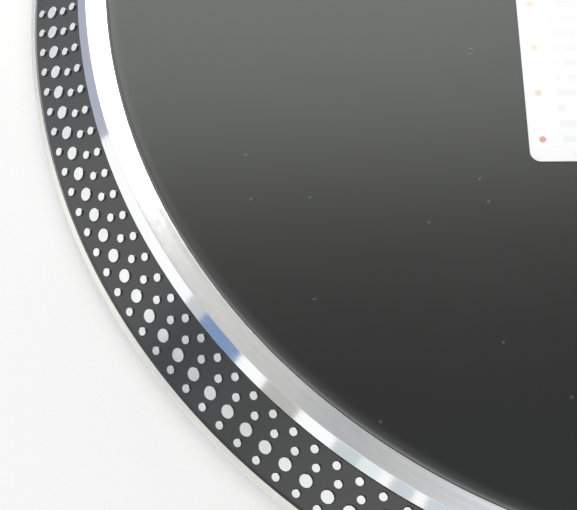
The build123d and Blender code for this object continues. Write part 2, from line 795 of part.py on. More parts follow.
def strobe_row(place, count, first, radius):
    """One ring of raised round dots, each cut from a skin that follows the band."""
    margin = 2 * radius
    near = place - margin
    far = place + margin
    corners = [on_band(near, -DOT_HEIGHT), on_band(far, -DOT_HEIGHT), on_band(far, 0), on_band(near, 0)]
    arc = math.degrees(2 * margin / band_inner)
    skin = Rot(0, 0, -arc / 2) * turned(corners, arc=arc)
    reach, height = on_band(place, 0)
    normal = Plane(origin=(reach, 0, height), x_dir=(0, 1, 0), z_dir=(slope_sin, 0, slope_cos))
    dot = skin & (normal * Cylinder(radius, 2 * margin))
    turns = [first + 360 / count * k for k in range(count)]
    return [Pos(*spindle, 0) * Rot(0, 0, turn) * dot for turn in turns]


def strobe_dots_small():
    """The three rings of small dots."""
    dots = strobe_row(SLOW_PLACE, SLOW_COUNT, SLOW_ANGLE, DOT_SMALL)
    dots += strobe_row(FAST_PLACE, FAST_COUNT, FAST_ANGLE, DOT_SMALL)
    return dots + strobe_row(FASTEST_PLACE, FASTEST_COUNT, FASTEST_ANGLE, DOT_SMALL)


def platter_mat():
    """Rubber mat with a rounded edge and a hole for the pin."""
    mat = post(ring_inner - MAT_GAP, deck_top, mat_top, spindle)
    mat = fillet(mat.edges().group_by(Axis.Z)[-1], MAT_EDGE_ROUND)
    return mat - post(PIN_ROOT_RADIUS + SLIDE_GAP, deck_top, mat_top, spindle)


def blank_card():
    """Plain white card that lies on the mat, with a hole for the pin."""
    card = rounded(CARD_WIDTH, CARD_LENGTH, mat_top, card_top, CARD_CORNER, spindle)
    return card - post(PIN_ROOT_RADIUS + SLIDE_GAP, mat_top, card_top, spindle)


# Electronics
def main_board():
    """Circuit board with its chips, capacitors and heat sink as separate solids."""
    x, y = board_corner()
    low = base_floor + STANDOFF_HEIGHT
    top = low + BOARD_THICKNESS
    middle = y + MAIN_BOARD_WIDTH / 2 + CHIP_SHIFT
    pieces = [slab((x, x + MAIN_BOARD_LENGTH), (y, y + MAIN_BOARD_WIDTH), (low, top))]
    for k in range(CHIPS):
        chip_x = x + MAIN_BOARD_LENGTH / (CHIPS + 1) * (k + 1)
        pieces.append(centred((chip_x, middle), CHIP_SIZE, CHIP_SIZE, top, top + CHIP_HEIGHT))
    for k in range(CAPACITORS):
        at = (x + MAIN_BOARD_LENGTH / CAPACITORS + CAPACITOR_PITCH * k, y + CAPACITOR_PITCH)
        pieces.append(post(CAPACITOR_RADIUS, top, top + CAPACITOR_HEIGHT, at))
    at = (x + MAIN_BOARD_LENGTH / 2, y + MAIN_BOARD_WIDTH - CAPACITOR_PITCH)
    pieces.append(centred(at, HEAT_SINK_LENGTH, HEAT_SINK_WIDTH, top, top + HEAT_SINK_HEIGHT))
    return pieces


def power_transformer():
    """Laminated core with its winding through the middle, as two solids."""
    at = (left + CORE_LEFT, rear - CORE_REAR)
    rise = (CORE_HEIGHT - WINDING_HEIGHT) / 2
    window = (base_floor + rise, base_floor + rise + WINDING_HEIGHT)
    core = centred(at, CORE_LENGTH, CORE_WIDTH, base_floor, base_floor + CORE_HEIGHT)
    winding = centred(at, WINDING_LENGTH, WINDING_WIDTH, *window)
    return [core - winding, winding]


# Rear terminals
def jack_places():
    """X of the left output, the right output and the ground post."""
    first = terminal_x - TERMINAL_WIDTH / 2 + JACK_EDGE
    return [first + JACK_PITCH * k for k in range(SIGNAL_JACKS + 1)]


inlet_x = terminal_x + TERMINAL_WIDTH / 2 - INLET_EDGE


def inlet_span(width):
    """Places along X, centred on the mains inlet."""
    return inlet_x - width / 2, inlet_x + width / 2


def around_terminal(height):
    """Heights centred on the row of terminals."""
    return terminal_z - height / 2, terminal_z + height / 2


def terminal_panel():
    """Shallow tray behind the window in the rear wall."""
    inside = (terminal_x - TERMINAL_WIDTH / 2, terminal_x + TERMINAL_WIDTH / 2)
    outside = (inside[0] - TERMINAL_LIP, inside[1] + TERMINAL_LIP)
    wall = rear - CASING_WALL
    back = terminal_back - TERMINAL_SHEET
    tray = slab(outside, (back, wall), around_terminal(TERMINAL_HEIGHT + 2 * TERMINAL_SHEET))
    tray -= slab(inside, (terminal_back, wall), around_terminal(TERMINAL_HEIGHT))
    for x in jack_places():
        tray -= lengthwise(JACK_TAIL_RADIUS, back, terminal_back, x, terminal_z)
    return tray - slab(inlet_span(INLET_WIDTH), (back, terminal_back), around_terminal(INLET_HEIGHT))


def output_jacks():
    """Two output jacks and a ground post, each through the panel."""
    tail = terminal_back - TERMINAL_SHEET - JACK_TAIL
    face = terminal_back + JACK_BASE
    pieces = []
    for k, x in enumerate(jack_places()):
        radius = JACK_RADIUS if k < SIGNAL_JACKS else GROUND_RADIUS
        jack = lengthwise(JACK_TAIL_RADIUS, tail, terminal_back, x, terminal_z)
        jack += lengthwise(JACK_BASE_RADIUS, terminal_back, face, x, terminal_z)
        jack += lengthwise(radius, face, terminal_back + JACK_LENGTH, x, terminal_z)
        if k < SIGNAL_JACKS:
            jack -= lengthwise(JACK_BORE, face, terminal_back + JACK_LENGTH, x, terminal_z)
        pieces.append(jack)
    return pieces


def mains_inlet():
    """Figure-eight inlet: housing with an open mouth, and two prongs."""
    mouth_end = terminal_back + INLET_FLANGE
    back = mouth_end - INLET_DEPTH
    bottom = mouth_end - INLET_MOUTH_DEPTH
    housing = slab(inlet_span(INLET_WIDTH), (back, mouth_end), around_terminal(INLET_HEIGHT))
    flange_width = INLET_WIDTH + 2 * INLET_FLANGE_LIP
    flange_height = INLET_HEIGHT + 2 * INLET_FLANGE_LIP
    housing += slab(inlet_span(flange_width), (terminal_back, mouth_end), around_terminal(flange_height))
    facing = Plane(origin=(inlet_x, mouth_end, terminal_z), x_dir=(1, 0, 0), z_dir=(0, -1, 0))
    housing -= extrude(facing * SlotOverall(INLET_MOUTH_WIDTH, INLET_MOUTH_HEIGHT), INLET_MOUTH_DEPTH)
    places = (inlet_x - PRONG_PITCH / 2, inlet_x + PRONG_PITCH / 2)
    prongs = [lengthwise(PRONG_RADIUS, bottom, bottom + PRONG_LENGTH, x, terminal_z) for x in places]
    return [housing] + prongs


# Buttons
lip_top = casing_roof - SLIDE_GAP / 2
lip_bottom = lip_top - BUTTON_LIP_HEIGHT


def button(at, width, depth):
    """Push button: a cap through the casing, on a lip that stops it underneath."""
    cap = (width - 2 * SLIDE_GAP, depth - 2 * SLIDE_GAP)
    key = centred(at, *cap, lip_top, plinth_top + BUTTON_PROUD)
    key = fillet(key.edges().group_by(Axis.Z)[-1] + key.edges().filter_by(Axis.Z), BUTTON_ROUND)
    return key + centred(at, width + 2 * BUTTON_LIP, depth + 2 * BUTTON_LIP, lip_bottom, lip_top)


def switch_cup(at, width, depth):
    """Switch box under a button, with the nub that the button presses."""
    room = (width + 2 * (BUTTON_LIP + SWITCH_ROOM), depth + 2 * (BUTTON_LIP + SWITCH_ROOM))
    low = casing_roof - SWITCH_DEPTH
    cup = centred(at, room[0] + 2 * SWITCH_WALL, room[1] + 2 * SWITCH_WALL, low - SWITCH_WALL, casing_roof)
    cup -= centred(at, *room, low, casing_roof)
    return cup + centred(at, SWITCH_NUB, SWITCH_NUB, low, lip_bottom - BUTTON_TRAVEL - PART_GAP)


def button_switches():
    """Switch boxes of the three buttons and the rotary power switch."""
    roof = plinth_top + STROBE_HEIGHT - STROBE_ROOF
    rotary = post(POWER_SWITCH_RADIUS, roof - POWER_SWITCH_HEIGHT, roof, strobe)
    rotary -= post(POWER_SHAFT_RADIUS + RUNNING_FIT, roof - POWER_SHAFT_DEPTH, roof, strobe)
    return [switch_cup(*place) for place in button_places().values()] + [rotary]


# Strobe pillar and power knob
def strobe_shell():
    """Round pillar, hollow from below, with the bore for the knob's shaft."""
    top = plinth_top + STROBE_HEIGHT
    shell = post(STROBE_RADIUS, plinth_top, top, strobe)
    shell = fillet(shell.edges().group_by(Axis.Z)[-1], POWER_KNOB_ROUND)
    shell -= post(STROBE_RADIUS - STROBE_WALL, plinth_top, top - STROBE_ROOF, strobe)
    return shell - post(POWER_SHAFT_RADIUS + RUNNING_FIT, plinth_top, top, strobe)


def window_block():
    """Block through the pillar's wall on the side that faces the platter."""
    low = plinth_top + WINDOW_SILL
    block = slab((0, STROBE_RADIUS), (-WINDOW_WIDTH / 2, WINDOW_WIDTH / 2), (low, low + WINDOW_HEIGHT))
    return Pos(*strobe, 0) * Rot(0, 0, STROBE_ANGLE + 180) * block


def strobe_housing():
    """Pillar with its window cut out."""
    return strobe_shell() - window_block()


def strobe_window():
    """Red lens that fills the pillar's window."""
    return strobe_shell() & window_block()


def power_knob():
    """Ribbed knob with its shaft, on top of the pillar."""
    top = plinth_top + STROBE_HEIGHT
    knob = post(POWER_KNOB_RADIUS, top + SLIDE_GAP, top + SLIDE_GAP + POWER_KNOB_HEIGHT, strobe)
    knob = fillet(knob.edges().group_by(Axis.Z)[-1], POWER_KNOB_ROUND)
    shaft_low = top - STROBE_ROOF - POWER_SHAFT_DEPTH + PART_GAP
    return knob + post(POWER_SHAFT_RADIUS, shaft_low, top + SLIDE_GAP, strobe)


# Pitch fader
def slot_length():
    """Length of the slot that the fader's stem runs in."""
    return FADER_TRAVEL + FADER_STEM_LENGTH + 2 * SLIDE_GAP


def fader_plate():
    """Thin slotted plate on the casing."""
    at = (fader_x, fader_y)
    heights = (plinth_top, plinth_top + FADER_PLATE)
    plate = rounded(FADER_PLATE_WIDTH, fader_length, *heights, FADER_PLATE_CORNER, at)
    return plate - centred(at, FADER_SLOT, slot_length(), *heights)


def fader_body():
    """Long box of the slide resistor under the casing."""
    low = casing_roof - FADER_BODY_DEPTH
    body = centred((fader_x, fader_y), FADER_BODY_WIDTH, fader_length, low, casing_roof)
    return body - centred((fader_x, fader_y), FADER_SLOT, slot_length(), low + FADER_BODY_FLOOR, casing_roof)


def pitch_knob():
    """Fader knob with a dished top, on a flat stem."""
    at = (fader_x, fader_y)
    low = plinth_top + FADER_PLATE + SLIDE_GAP
    top = low + FADER_KNOB_HEIGHT
    knob = centred(at, FADER_KNOB_WIDTH, FADER_KNOB_LENGTH, low, top)
    knob = fillet(knob.edges().filter_by(Axis.Z), FADER_KNOB_ROUND)
    half = FADER_KNOB_LENGTH / 2 - FADER_KNOB_ROUND
    dish = (half**2 + FADER_KNOB_DIP**2) / (2 * FADER_KNOB_DIP)
    reach = FADER_KNOB_WIDTH / 2
    knob -= crosswise(dish, fader_x - reach, fader_x + reach, fader_y, top - FADER_KNOB_DIP + dish)
    stem_low = casing_roof - FADER_BODY_DEPTH + FADER_BODY_FLOOR + PART_GAP
    return knob + centred(at, FADER_STEM_WIDTH, FADER_STEM_LENGTH, stem_low, low)


# Tonearm base
collar_bore = CARRIER_RADIUS + RUNNING_FIT
collar_outer = CARRIER_RADIUS + ARM_COLLAR_WALL
ring_low = plinth_top + ARM_BASE_FLANGE + PART_GAP
ring_high = ring_low + HEIGHT_RING_HEIGHT
plate_low = ring_high + SLIDE_GAP
plate_high = plate_low + CARRIER_PLATE
shaft_bottom = plinth_top - CARRIER_DROP
bearing_ring = YOKE_SHAFT_RADIUS + BEARING_RING_WALL


def arm_base():
    """Flange and guide collar, fixed to the casing."""
    base = post(ARM_BASE_RADIUS, plinth_top, plinth_top + ARM_BASE_FLANGE, pivot)
    base = fillet(base.edges().group_by(Axis.Z)[-1], PART_GAP)
    base += post(collar_outer, plinth_top - ARM_COLLAR_DROP, ring_high, pivot)
    base -= post(collar_bore, plinth_top - ARM_COLLAR_DROP, ring_high, pivot)
    head_seat = plinth_top + ARM_BASE_FLANGE - SMALL_HEAD
    for place in arm_screw_places():
        base -= post(SMALL_SCREW_RADIUS, plinth_top, head_seat, place)
        base -= post(SMALL_HEAD_RADIUS, head_seat, plinth_top + ARM_BASE_FLANGE, place)
    return base


def arm_height_ring():
    """Ring that raises the tonearm when it is turned."""
    outer = collar_outer + HEIGHT_RING_WALL
    return sleeve(outer, collar_outer + RUNNING_FIT, ring_low, ring_high, pivot)


def from_pivot(x, y):
    """Place to the right of the arm's pivot and in front of it."""
    return pivot[0] + x, pivot[1] - y


lift_post = polar(pivot, LIFT_REACH, LIFT_POST_ANGLE)
cue = from_pivot(CUE_X, CUE_Y)
cue_z = plate_high + CUE_AXIS_RISE
skate = from_pivot(SKATE_X, SKATE_Y)
rest = from_pivot(0, REST_REACH)


def arm_carrier():
    """Plate and sleeve that carry the arm, the lift, the dial and the arm rest."""
    body = post(CARRIER_RADIUS, shaft_bottom, plate_high, pivot)
    body += post(CARRIER_HUB_RADIUS, plate_low, plate_high, pivot)
    middle = from_pivot((CARRIER_RIGHT - CARRIER_LEFT) / 2, CARRIER_FRONT / 2)
    span = CARRIER_LEFT + CARRIER_RIGHT
    body += rounded(span, CARRIER_FRONT, plate_low, plate_high, CARRIER_CORNER, middle)
    body += post(LIFT_BOSS_RADIUS, plate_high, plate_high + LIFT_BOSS_HEIGHT, lift_post)
    body -= post(LIFT_POST_RADIUS + RUNNING_FIT, plate_low, plate_high + LIFT_BOSS_HEIGHT, lift_post)
    body += centred(cue, CUE_BRACKET_WIDTH, CUE_BRACKET_LENGTH, plate_high, cue_z)
    half = CUE_BRACKET_WIDTH / 2
    body += crosswise(CUE_BRACKET_LENGTH / 2, cue[0] - half, cue[0] + half, cue[1], cue_z)
    body -= crosswise(CUE_PIN_RADIUS + RUNNING_FIT, cue[0] - half, cue[0] + half, cue[1], cue_z)
    body -= post(SKATE_SHAFT_RADIUS + RUNNING_FIT, plate_low, plate_high, skate)
    return body - post(bearing_ring, shaft_bottom, plate_high, pivot)


def arm_bearings():
    """Upper and lower bearing rings of the arm's upright shaft."""
    inner = YOKE_SHAFT_RADIUS + RUNNING_FIT
    lower = sleeve(bearing_ring, inner, shaft_bottom, shaft_bottom + BEARING_RING_HEIGHT, pivot)
    return [lower, sleeve(bearing_ring, inner, plate_high - BEARING_RING_HEIGHT, plate_high, pivot)]


# Tonearm
yoke_low = plate_high + PART_GAP
yoke_base = yoke_low + YOKE_DISC
side_inner = BLOCK_WIDTH / 2 + YOKE_ROOM
side_outer = side_inner + YOKE_SIDE


def yoke_side(start, end):
    """One upright of the yoke, round at the top."""
    x_span = (pivot[0] + start, pivot[0] + end)
    y_span = (pivot[1] - YOKE_SIDE_RADIUS, pivot[1] + YOKE_SIDE_RADIUS)
    side = slab(x_span, y_span, (yoke_low, arm_z))
    side += crosswise(YOKE_SIDE_RADIUS, *x_span, pivot[1], arm_z)
    return side - crosswise(PIVOT_SCREW_RADIUS, *x_span, pivot[1], arm_z)


def arm_yoke():
    """Fork that turns on the upright shaft and holds the arm between its sides."""
    fork = post(YOKE_DISC_RADIUS, yoke_low, yoke_base, pivot)
    fork += post(YOKE_SHAFT_RADIUS, shaft_bottom, yoke_low, pivot)
    return fork + yoke_side(side_inner, side_outer) + yoke_side(-side_outer, -side_inner)


def pivot_screw(side):
    """Pivot screw with a flat head outside the yoke and a pin in the block."""
    at = (pivot[1], arm_z)
    places = (BLOCK_WIDTH / 2 - PIVOT_PIN_LENGTH, side_inner - PART_GAP, side_outer, side_outer + PIVOT_HEAD)
    radii = (PIVOT_PIN_RADIUS, PIVOT_SCREW_RADIUS, PIVOT_HEAD_RADIUS)
    screw = None
    for radius, start, end in zip(radii, places, places[1:]):
        ends = sorted((pivot[0] + side * start, pivot[0] + side * end))
        stretch = crosswise(radius, *ends, *at)
        screw = stretch if screw is None else screw + stretch
    return screw


def pivot_screws():
    """Left and right pivot screws."""
    return [pivot_screw(-1), pivot_screw(1)]


def arm_block():
    """Rounded block on the pivots, which takes the tube and the rear stub."""
    low = arm_z - BLOCK_HEIGHT / 2
    block = centred(pivot, BLOCK_WIDTH, BLOCK_LENGTH, low, low + BLOCK_HEIGHT)
    block = fillet(block.edges(), BLOCK_ROUND)
    half = BLOCK_WIDTH / 2
    socket = PIVOT_PIN_RADIUS + RUNNING_FIT
    for start, end in ((-half, PIVOT_SOCKET - half), (half - PIVOT_SOCKET, half)):
        block -= crosswise(socket, pivot[0] + start, pivot[0] + end, pivot[1], arm_z)
    front_face = pivot[1] - BLOCK_LENGTH / 2
    rear_face = pivot[1] + BLOCK_LENGTH / 2
    block -= lengthwise(TUBE_RADIUS, front_face, pivot[1] - TUBE_SOCKET, pivot[0], arm_z)
    return block - lengthwise(STUB_RADIUS, pivot[1] + TUBE_SOCKET, rear_face, pivot[0], arm_z)


def along_arm(forward, outward):
    """Point of the arm at rest: forward from the pivot, and outward to the right."""
    return Vector(pivot[0] + outward, pivot[1] - forward, arm_z)


shell_turn = 270 - OFFSET_ANGLE
shell_way = Vector(math.cos(math.radians(shell_turn)), math.sin(math.radians(shell_turn)), 0)
stylus = along_arm(arm_length, 0)
socket_end = stylus - shell_way * HEADSHELL_REACH
collar_back = socket_end - shell_way * COLLAR_LENGTH
tube_end = collar_back + shell_way * COLLAR_OVERLAP


def arm_tube():
    """Hollow S-shaped tube from the block to the headshell's collar."""
    corners = [along_arm(TUBE_SOCKET, 0), along_arm(TUBE_STRAIGHT, 0)]
    corners += [collar_back - shell_way * TUBE_LEAD, tube_end]
    path = FilletPolyline(*corners, radius=[TUBE_REAR_BEND, TUBE_FRONT_BEND])
    start = Plane(origin=corners[0], z_dir=(0, -1, 0))
    return sweep(start * (Circle(TUBE_RADIUS) - Circle(TUBE_RADIUS - TUBE_WALL)), path)


def counterweight_shaft():
    """Rear stub that carries the counterweight."""
    return lengthwise(STUB_RADIUS, pivot[1] + TUBE_SOCKET, pivot[1] + STUB_LENGTH, pivot[0], arm_z)


def rear_ring(outer, inner, start, length):
    """Ring round the rear stub, from a place behind the pivot."""
    ends = (pivot[1] + start, pivot[1] + start + length)
    ring = lengthwise(outer, *ends, pivot[0], arm_z)
    return ring, lengthwise(inner, *ends, pivot[0], arm_z)


def counterweight_bush():
    """Threaded bush inside the counterweight."""
    ring, bore = rear_ring(STUB_RADIUS + BUSH_WALL, STUB_RADIUS + RUNNING_FIT, WEIGHT_START, WEIGHT_LENGTH)
    return ring - bore


def counterweight():
    """Turned weight that screws along the stub."""
    bore = STUB_RADIUS + BUSH_WALL + RUNNING_FIT
    ring, hole = rear_ring(WEIGHT_RADIUS, bore, WEIGHT_START, WEIGHT_LENGTH)
    ring = chamfer(ring.edges().filter_by(GeomType.CIRCLE), WEIGHT_EDGE)
    return ring - hole


def force_dial():
    """Dial ring in front of the counterweight."""
    start = WEIGHT_START - PART_GAP - DIAL_LENGTH
    ring, hole = rear_ring(WEIGHT_RADIUS, STUB_RADIUS + RUNNING_FIT, start, DIAL_LENGTH)
    ring = chamfer(ring.edges().filter_by(GeomType.CIRCLE), DIAL_EDGE)
    return ring - hole


def on_shell(shape):
    """Shape drawn along X from the headshell's socket, put in place."""
    return Pos(*socket_end) * Rot(0, 0, shell_turn) * shape


def headshell_collar():
    """Locking ring round the end of the tube."""
    return on_shell(
        crosswise(COLLAR_RADIUS, -COLLAR_LENGTH, -PART_GAP, 0, 0)
        - crosswise(TUBE_RADIUS + RUNNING_FIT, -COLLAR_LENGTH, -PART_GAP, 0, 0)
    )


shell_under = -SHELL_THICKNESS
cartridge_low = shell_under - CARTRIDGE_HEIGHT
holder_low = cartridge_low - HOLDER_HEIGHT


def shell_screw_places():
    """Both cartridge screws on the headshell."""
    return [(SHELL_SCREW_PLACE, side * SHELL_SCREW_PITCH / 2) for side in (-1, 1)]


def headshell():
    """Flat shell with its plug, neck and finger lift."""
    plug_start = COLLAR_OVERLAP - COLLAR_LENGTH
    rear_half = SHELL_REAR_WIDTH / 2
    half = SHELL_FRONT_WIDTH / 2
    outline = [(SHELL_NECK_LENGTH / 2, -rear_half), (SHELL_SHOULDER, -half), (SHELL_LENGTH, -half)]
    outline += [(x, -y) for x, y in reversed(outline)]
    plate = Pos(0, 0, shell_under) * extrude(make_face(Polyline(*outline, close=True)), SHELL_THICKNESS)
    plate = fillet(plate.edges().filter_by(Axis.Z), SHELL_THICKNESS / 2)
    plate += crosswise(SHELL_PLUG_RADIUS, plug_start, 0, 0, 0)
    plate += crosswise(SHELL_NECK_RADIUS, 0, SHELL_NECK_LENGTH, 0, 0)
    for place in shell_screw_places():
        plate -= post(SHELL_SCREW_RADIUS, shell_under, 0, place)
    lift_z = shell_under + SHELL_THICKNESS / 2
    bend = (FINGER_PLACE, half + FINGER_OUT / 2, lift_z)
    tip = (FINGER_PLACE + FINGER_FORWARD, half + FINGER_OUT, lift_z + FINGER_UP)
    root = (FINGER_PLACE, half - FINGER_BEND, lift_z)
    path = FilletPolyline(root, bend, tip, radius=FINGER_BEND)
    start = Plane(origin=root, z_dir=(0, 1, 0))
    return on_shell(plate + sweep(start * Circle(FINGER_RADIUS), path))


def cartridge_screws():
    """Two small screws through the headshell into the cartridge."""
    tip = shell_under - SHELL_THICKNESS
    sizes = (SHELL_SCREW_RADIUS, SHELL_SCREW_HEAD_RADIUS)
    return [on_shell(screw_down(place, *sizes, 0, SHELL_SCREW_HEAD, tip)) for place in shell_screw_places()]


def cartridge():
    """Cartridge body with a sloping nose, under the headshell."""
    side = [(CARTRIDGE_REAR, shell_under), (CARTRIDGE_FRONT, shell_under)]
    side += [(CARTRIDGE_FRONT, shell_under - CARTRIDGE_HEIGHT / 2)]
    side += [(CARTRIDGE_FRONT - CARTRIDGE_NOSE, cartridge_low)]
    face = Plane.XZ * make_face(Polyline(*side, (CARTRIDGE_REAR, cartridge_low), close=True))
    body = extrude(face, CARTRIDGE_WIDTH / 2, both=True)
    for place in shell_screw_places():
        body -= post(SHELL_SCREW_RADIUS, shell_under - SHELL_THICKNESS, shell_under, place)
    return on_shell(body)


def stylus_unit():
    """Stylus holder, cantilever and tip in one piece."""
    front_face = HEADSHELL_REACH - CARTRIDGE_NOSE
    width = (-HOLDER_WIDTH / 2, HOLDER_WIDTH / 2)
    holder = slab((front_face - HOLDER_LENGTH, front_face), width, (holder_low, cartridge_low))
    root = Vector(front_face - CANTILEVER_RADIUS, 0, holder_low + HOLDER_HEIGHT / 2)
    end = Vector(HEADSHELL_REACH, 0, -STYLUS_DROP + 2 * TIP_RADIUS + CANTILEVER_RADIUS)
    way = end - root
    rod = Plane(origin=root, z_dir=way) * Cylinder(CANTILEVER_RADIUS, way.length, align=STANDING)
    tip = Cone(TIP_POINT, TIP_RADIUS, 2 * TIP_RADIUS + CANTILEVER_RADIUS, align=STANDING)
    return on_shell(holder + rod + Pos(HEADSHELL_REACH - TIP_RADIUS, 0, -STYLUS_DROP) * tip)


# Lift, lever, dial and rest
lift_top = arm_z - TUBE_RADIUS - SLIDE_GAP - LIFT_TRAVEL


def cue_lift():
    """Curved bar under the tube, on a post that slides in the carrier."""
    inner = LIFT_REACH - LIFT_WIDTH / 2
    outer = LIFT_REACH + LIFT_WIDTH / 2
    low = lift_top - LIFT_BAR
    corners = [(inner, low), (outer, low), (outer, lift_top), (inner, lift_top)]
    bar = Pos(*pivot, 0) * Rot(0, 0, LIFT_FIRST) * turned(corners, arc=LIFT_LAST - LIFT_FIRST)
    return bar + post(LIFT_POST_RADIUS, plate_low, low, lift_post)


def cue_lever():
    """Lever with a pin through the bracket and a handle that points forward."""
    half = CUE_BRACKET_WIDTH / 2
    hub_start = cue[0] + half + PART_GAP
    lever = crosswise(CUE_PIN_RADIUS, cue[0] - half, hub_start, cue[1], cue_z)
    lever += crosswise(CUE_HUB_RADIUS, hub_start, hub_start + CUE_HUB_WIDTH, cue[1], cue_z)
    root = (hub_start + CUE_HUB_WIDTH / 2, cue[1], cue_z)
    handle = Cylinder(CUE_BAR_RADIUS, CUE_LENGTH, align=STANDING)
    tip = Cylinder(CUE_TIP_RADIUS, CUE_TIP_LENGTH, align=STANDING)
    tip = Pos(0, 0, CUE_LENGTH - CUE_TIP_LENGTH / 2) * tip
    tip = fillet(tip.edges(), CUE_TIP_RADIUS / 2)
    return lever + Pos(*root) * Rot(90 - CUE_SLOPE, 0, 0) * (handle + tip)


def anti_skate_knob():
    """Dial with its shaft in the carrier."""
    low = plate_high + PART_GAP
    knob = post(SKATE_RADIUS, low, low + SKATE_HEIGHT, skate)
    knob = fillet(knob.edges().group_by(Axis.Z)[-1], POWER_KNOB_ROUND)
    return knob + post(SKATE_SHAFT_RADIUS, plate_low, low, skate)


rest_top = arm_z - TUBE_RADIUS - PART_GAP
rest_wall = pivot[0] + TUBE_RADIUS + CLIP_ROOM + CLIP_THICKNESS + PART_GAP
rest_right = rest_wall + REST_WALL
clip_x = rest_wall + REST_WALL / 2
clip_z = arm_z + TUBE_RADIUS / 2
rest_span = (rest[1] - REST_WIDTH / 2, rest[1] + REST_WIDTH / 2)


def arm_rest():
    """Post with a cradle that is open towards the platter, and an ear for the clip."""
    body = post(REST_POST_RADIUS, plate_high, rest_top - REST_FLOOR, rest)
    body += slab((pivot[0] - REST_LEFT, rest_right), rest_span, (rest_top - REST_FLOOR, rest_top))
    body += slab((rest_wall, rest_right), rest_span, (rest_top, clip_z - CLIP_EYE_RADIUS - PART_GAP))
    ear = slab((rest_wall, rest_right), (rest[1], rest_span[1]), (rest_top, clip_z))
    ear += lengthwise(REST_WALL / 2, rest[1], rest_span[1], clip_x, clip_z)
    return body + ear - lengthwise(CLIP_PIN_RADIUS + RUNNING_FIT, *rest_span, clip_x, clip_z)


def arm_clip():
    """Clip that swings over the tube on a pin, shown open."""
    near = (rest_span[0], rest[1] - PART_GAP)
    inner = TUBE_RADIUS + CLIP_ROOM
    hoop = lengthwise(inner + CLIP_THICKNESS, *near, pivot[0], arm_z)
    hoop -= lengthwise(inner, *near, pivot[0], arm_z)
    hoop -= slab((pivot[0] - 2 * inner, clip_x), near, (arm_z - 2 * inner, arm_z))
    link = slab((pivot[0] + inner, clip_x), near, (arm_z, arm_z + CLIP_EYE_RADIUS))
    eye = lengthwise(CLIP_EYE_RADIUS, *near, clip_x, clip_z)
    pin = lengthwise(CLIP_PIN_RADIUS, near[0], rest_span[1], clip_x, clip_z)
    closed = hoop + link + eye + pin
    return Pos(clip_x, 0, clip_z) * Rot(0, CLIP_OPEN, 0) * Pos(-clip_x, 0, -clip_z) * closed


def sub_parts():
    """Every node of the player by name."""
    nodes = {
        "top_casing": top_casing(),
        "base_tray": base_tray(),
        "bottom_plate": bottom_plate(),
        "casing_screws": casing_screws(),
        "bearing_housing": bearing_housing(),
        "bearing_bushes": bearing_bushes(),
        "thrust_pad": thrust_pad(),
        "stator_core": stator_core(),
        "stator_coils": stator_coils(),
        "stator_board": stator_board(),
        "main_board": main_board(),
        "power_transformer": power_transformer(),
        "terminal_panel": terminal_panel(),
        "output_jacks": output_jacks(),
        "mains_inlet": mains_inlet(),
        "strobe_housing": strobe_housing(),
        "strobe_window": strobe_window(),
        "power_knob": power_knob(),
        "button_switches": button_switches(),
        "fader_plate": fader_plate(),
        "fader_body": fader_body(),
        "pitch_knob": pitch_knob(),
        "platter": platter(),
        "strobe_band": strobe_band(),
        "strobe_dots_large": strobe_row(TRUE_PLACE, TRUE_COUNT, TRUE_ANGLE, DOT_LARGE),
        "strobe_dots_small": strobe_dots_small(),
        "platter_mat": platter_mat(),
        "blank_card": blank_card(),
        "rotor_yoke": rotor_yoke(),
        "rotor_magnet": rotor_magnet(),
        "spindle": spindle_shaft(),
        "arm_base": arm_base(),
        "arm_height_ring": arm_height_ring(),
        "arm_carrier": arm_carrier(),
        "arm_bearings": arm_bearings(),
        "arm_yoke": arm_yoke(),
        "pivot_screws": pivot_screws(),
        "arm_block": arm_block(),
        "arm_tube": arm_tube(),
        "counterweight_shaft": counterweight_shaft(),
        "counterweight_bush": counterweight_bush(),
        "counterweight": counterweight(),
        "force_dial": force_dial(),
        "headshell_collar": headshell_collar(),
        "headshell": headshell(),
        "cartridge_screws": cartridge_screws(),
        "cartridge": cartridge(),
        "stylus": stylus_unit(),
        "cue_lift": cue_lift(),
        "cue_lever": cue_lever(),
        "anti_skate_knob": anti_skate_knob(),
        "arm_rest": arm_rest(),
        "arm_clip": arm_clip(),
    }
    for name, (at, width, depth) in button_places().items():
        nodes[name] = button(at, width, depth)
    for name, place in foot_places().items():
        nodes["foot_" + name] = foot(place)
    return nodes


os.makedirs("parts", exist_ok=True)
for name, shape in sub_parts().items():
    solids = shape if isinstance(shape, list) else [shape]
    export_step(solids[0] if len(solids) == 1 else Compound(children=solids), f"parts/{name}.step")
print("Spindle", spindle, "pivot", pivot, "strobe", strobe)
print("Heights", plinth_top, platter_bottom, ring_z, mat_top, arm_z)
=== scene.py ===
# %% [markdown]
# # A turntable record player, dressed around its CAD frame
# The solids give the places and the joints. This lesson gives them their looks: a turned platter with a
# dotted strobe band, a rubber mat with a card on it, a pale plinth, and a bright tonearm. The frame is
# loaded first. Nothing here may make the object larger.

# %% Load the frame
import json
import math

import bpy
import numpy as np
from mathutils import Matrix, Vector


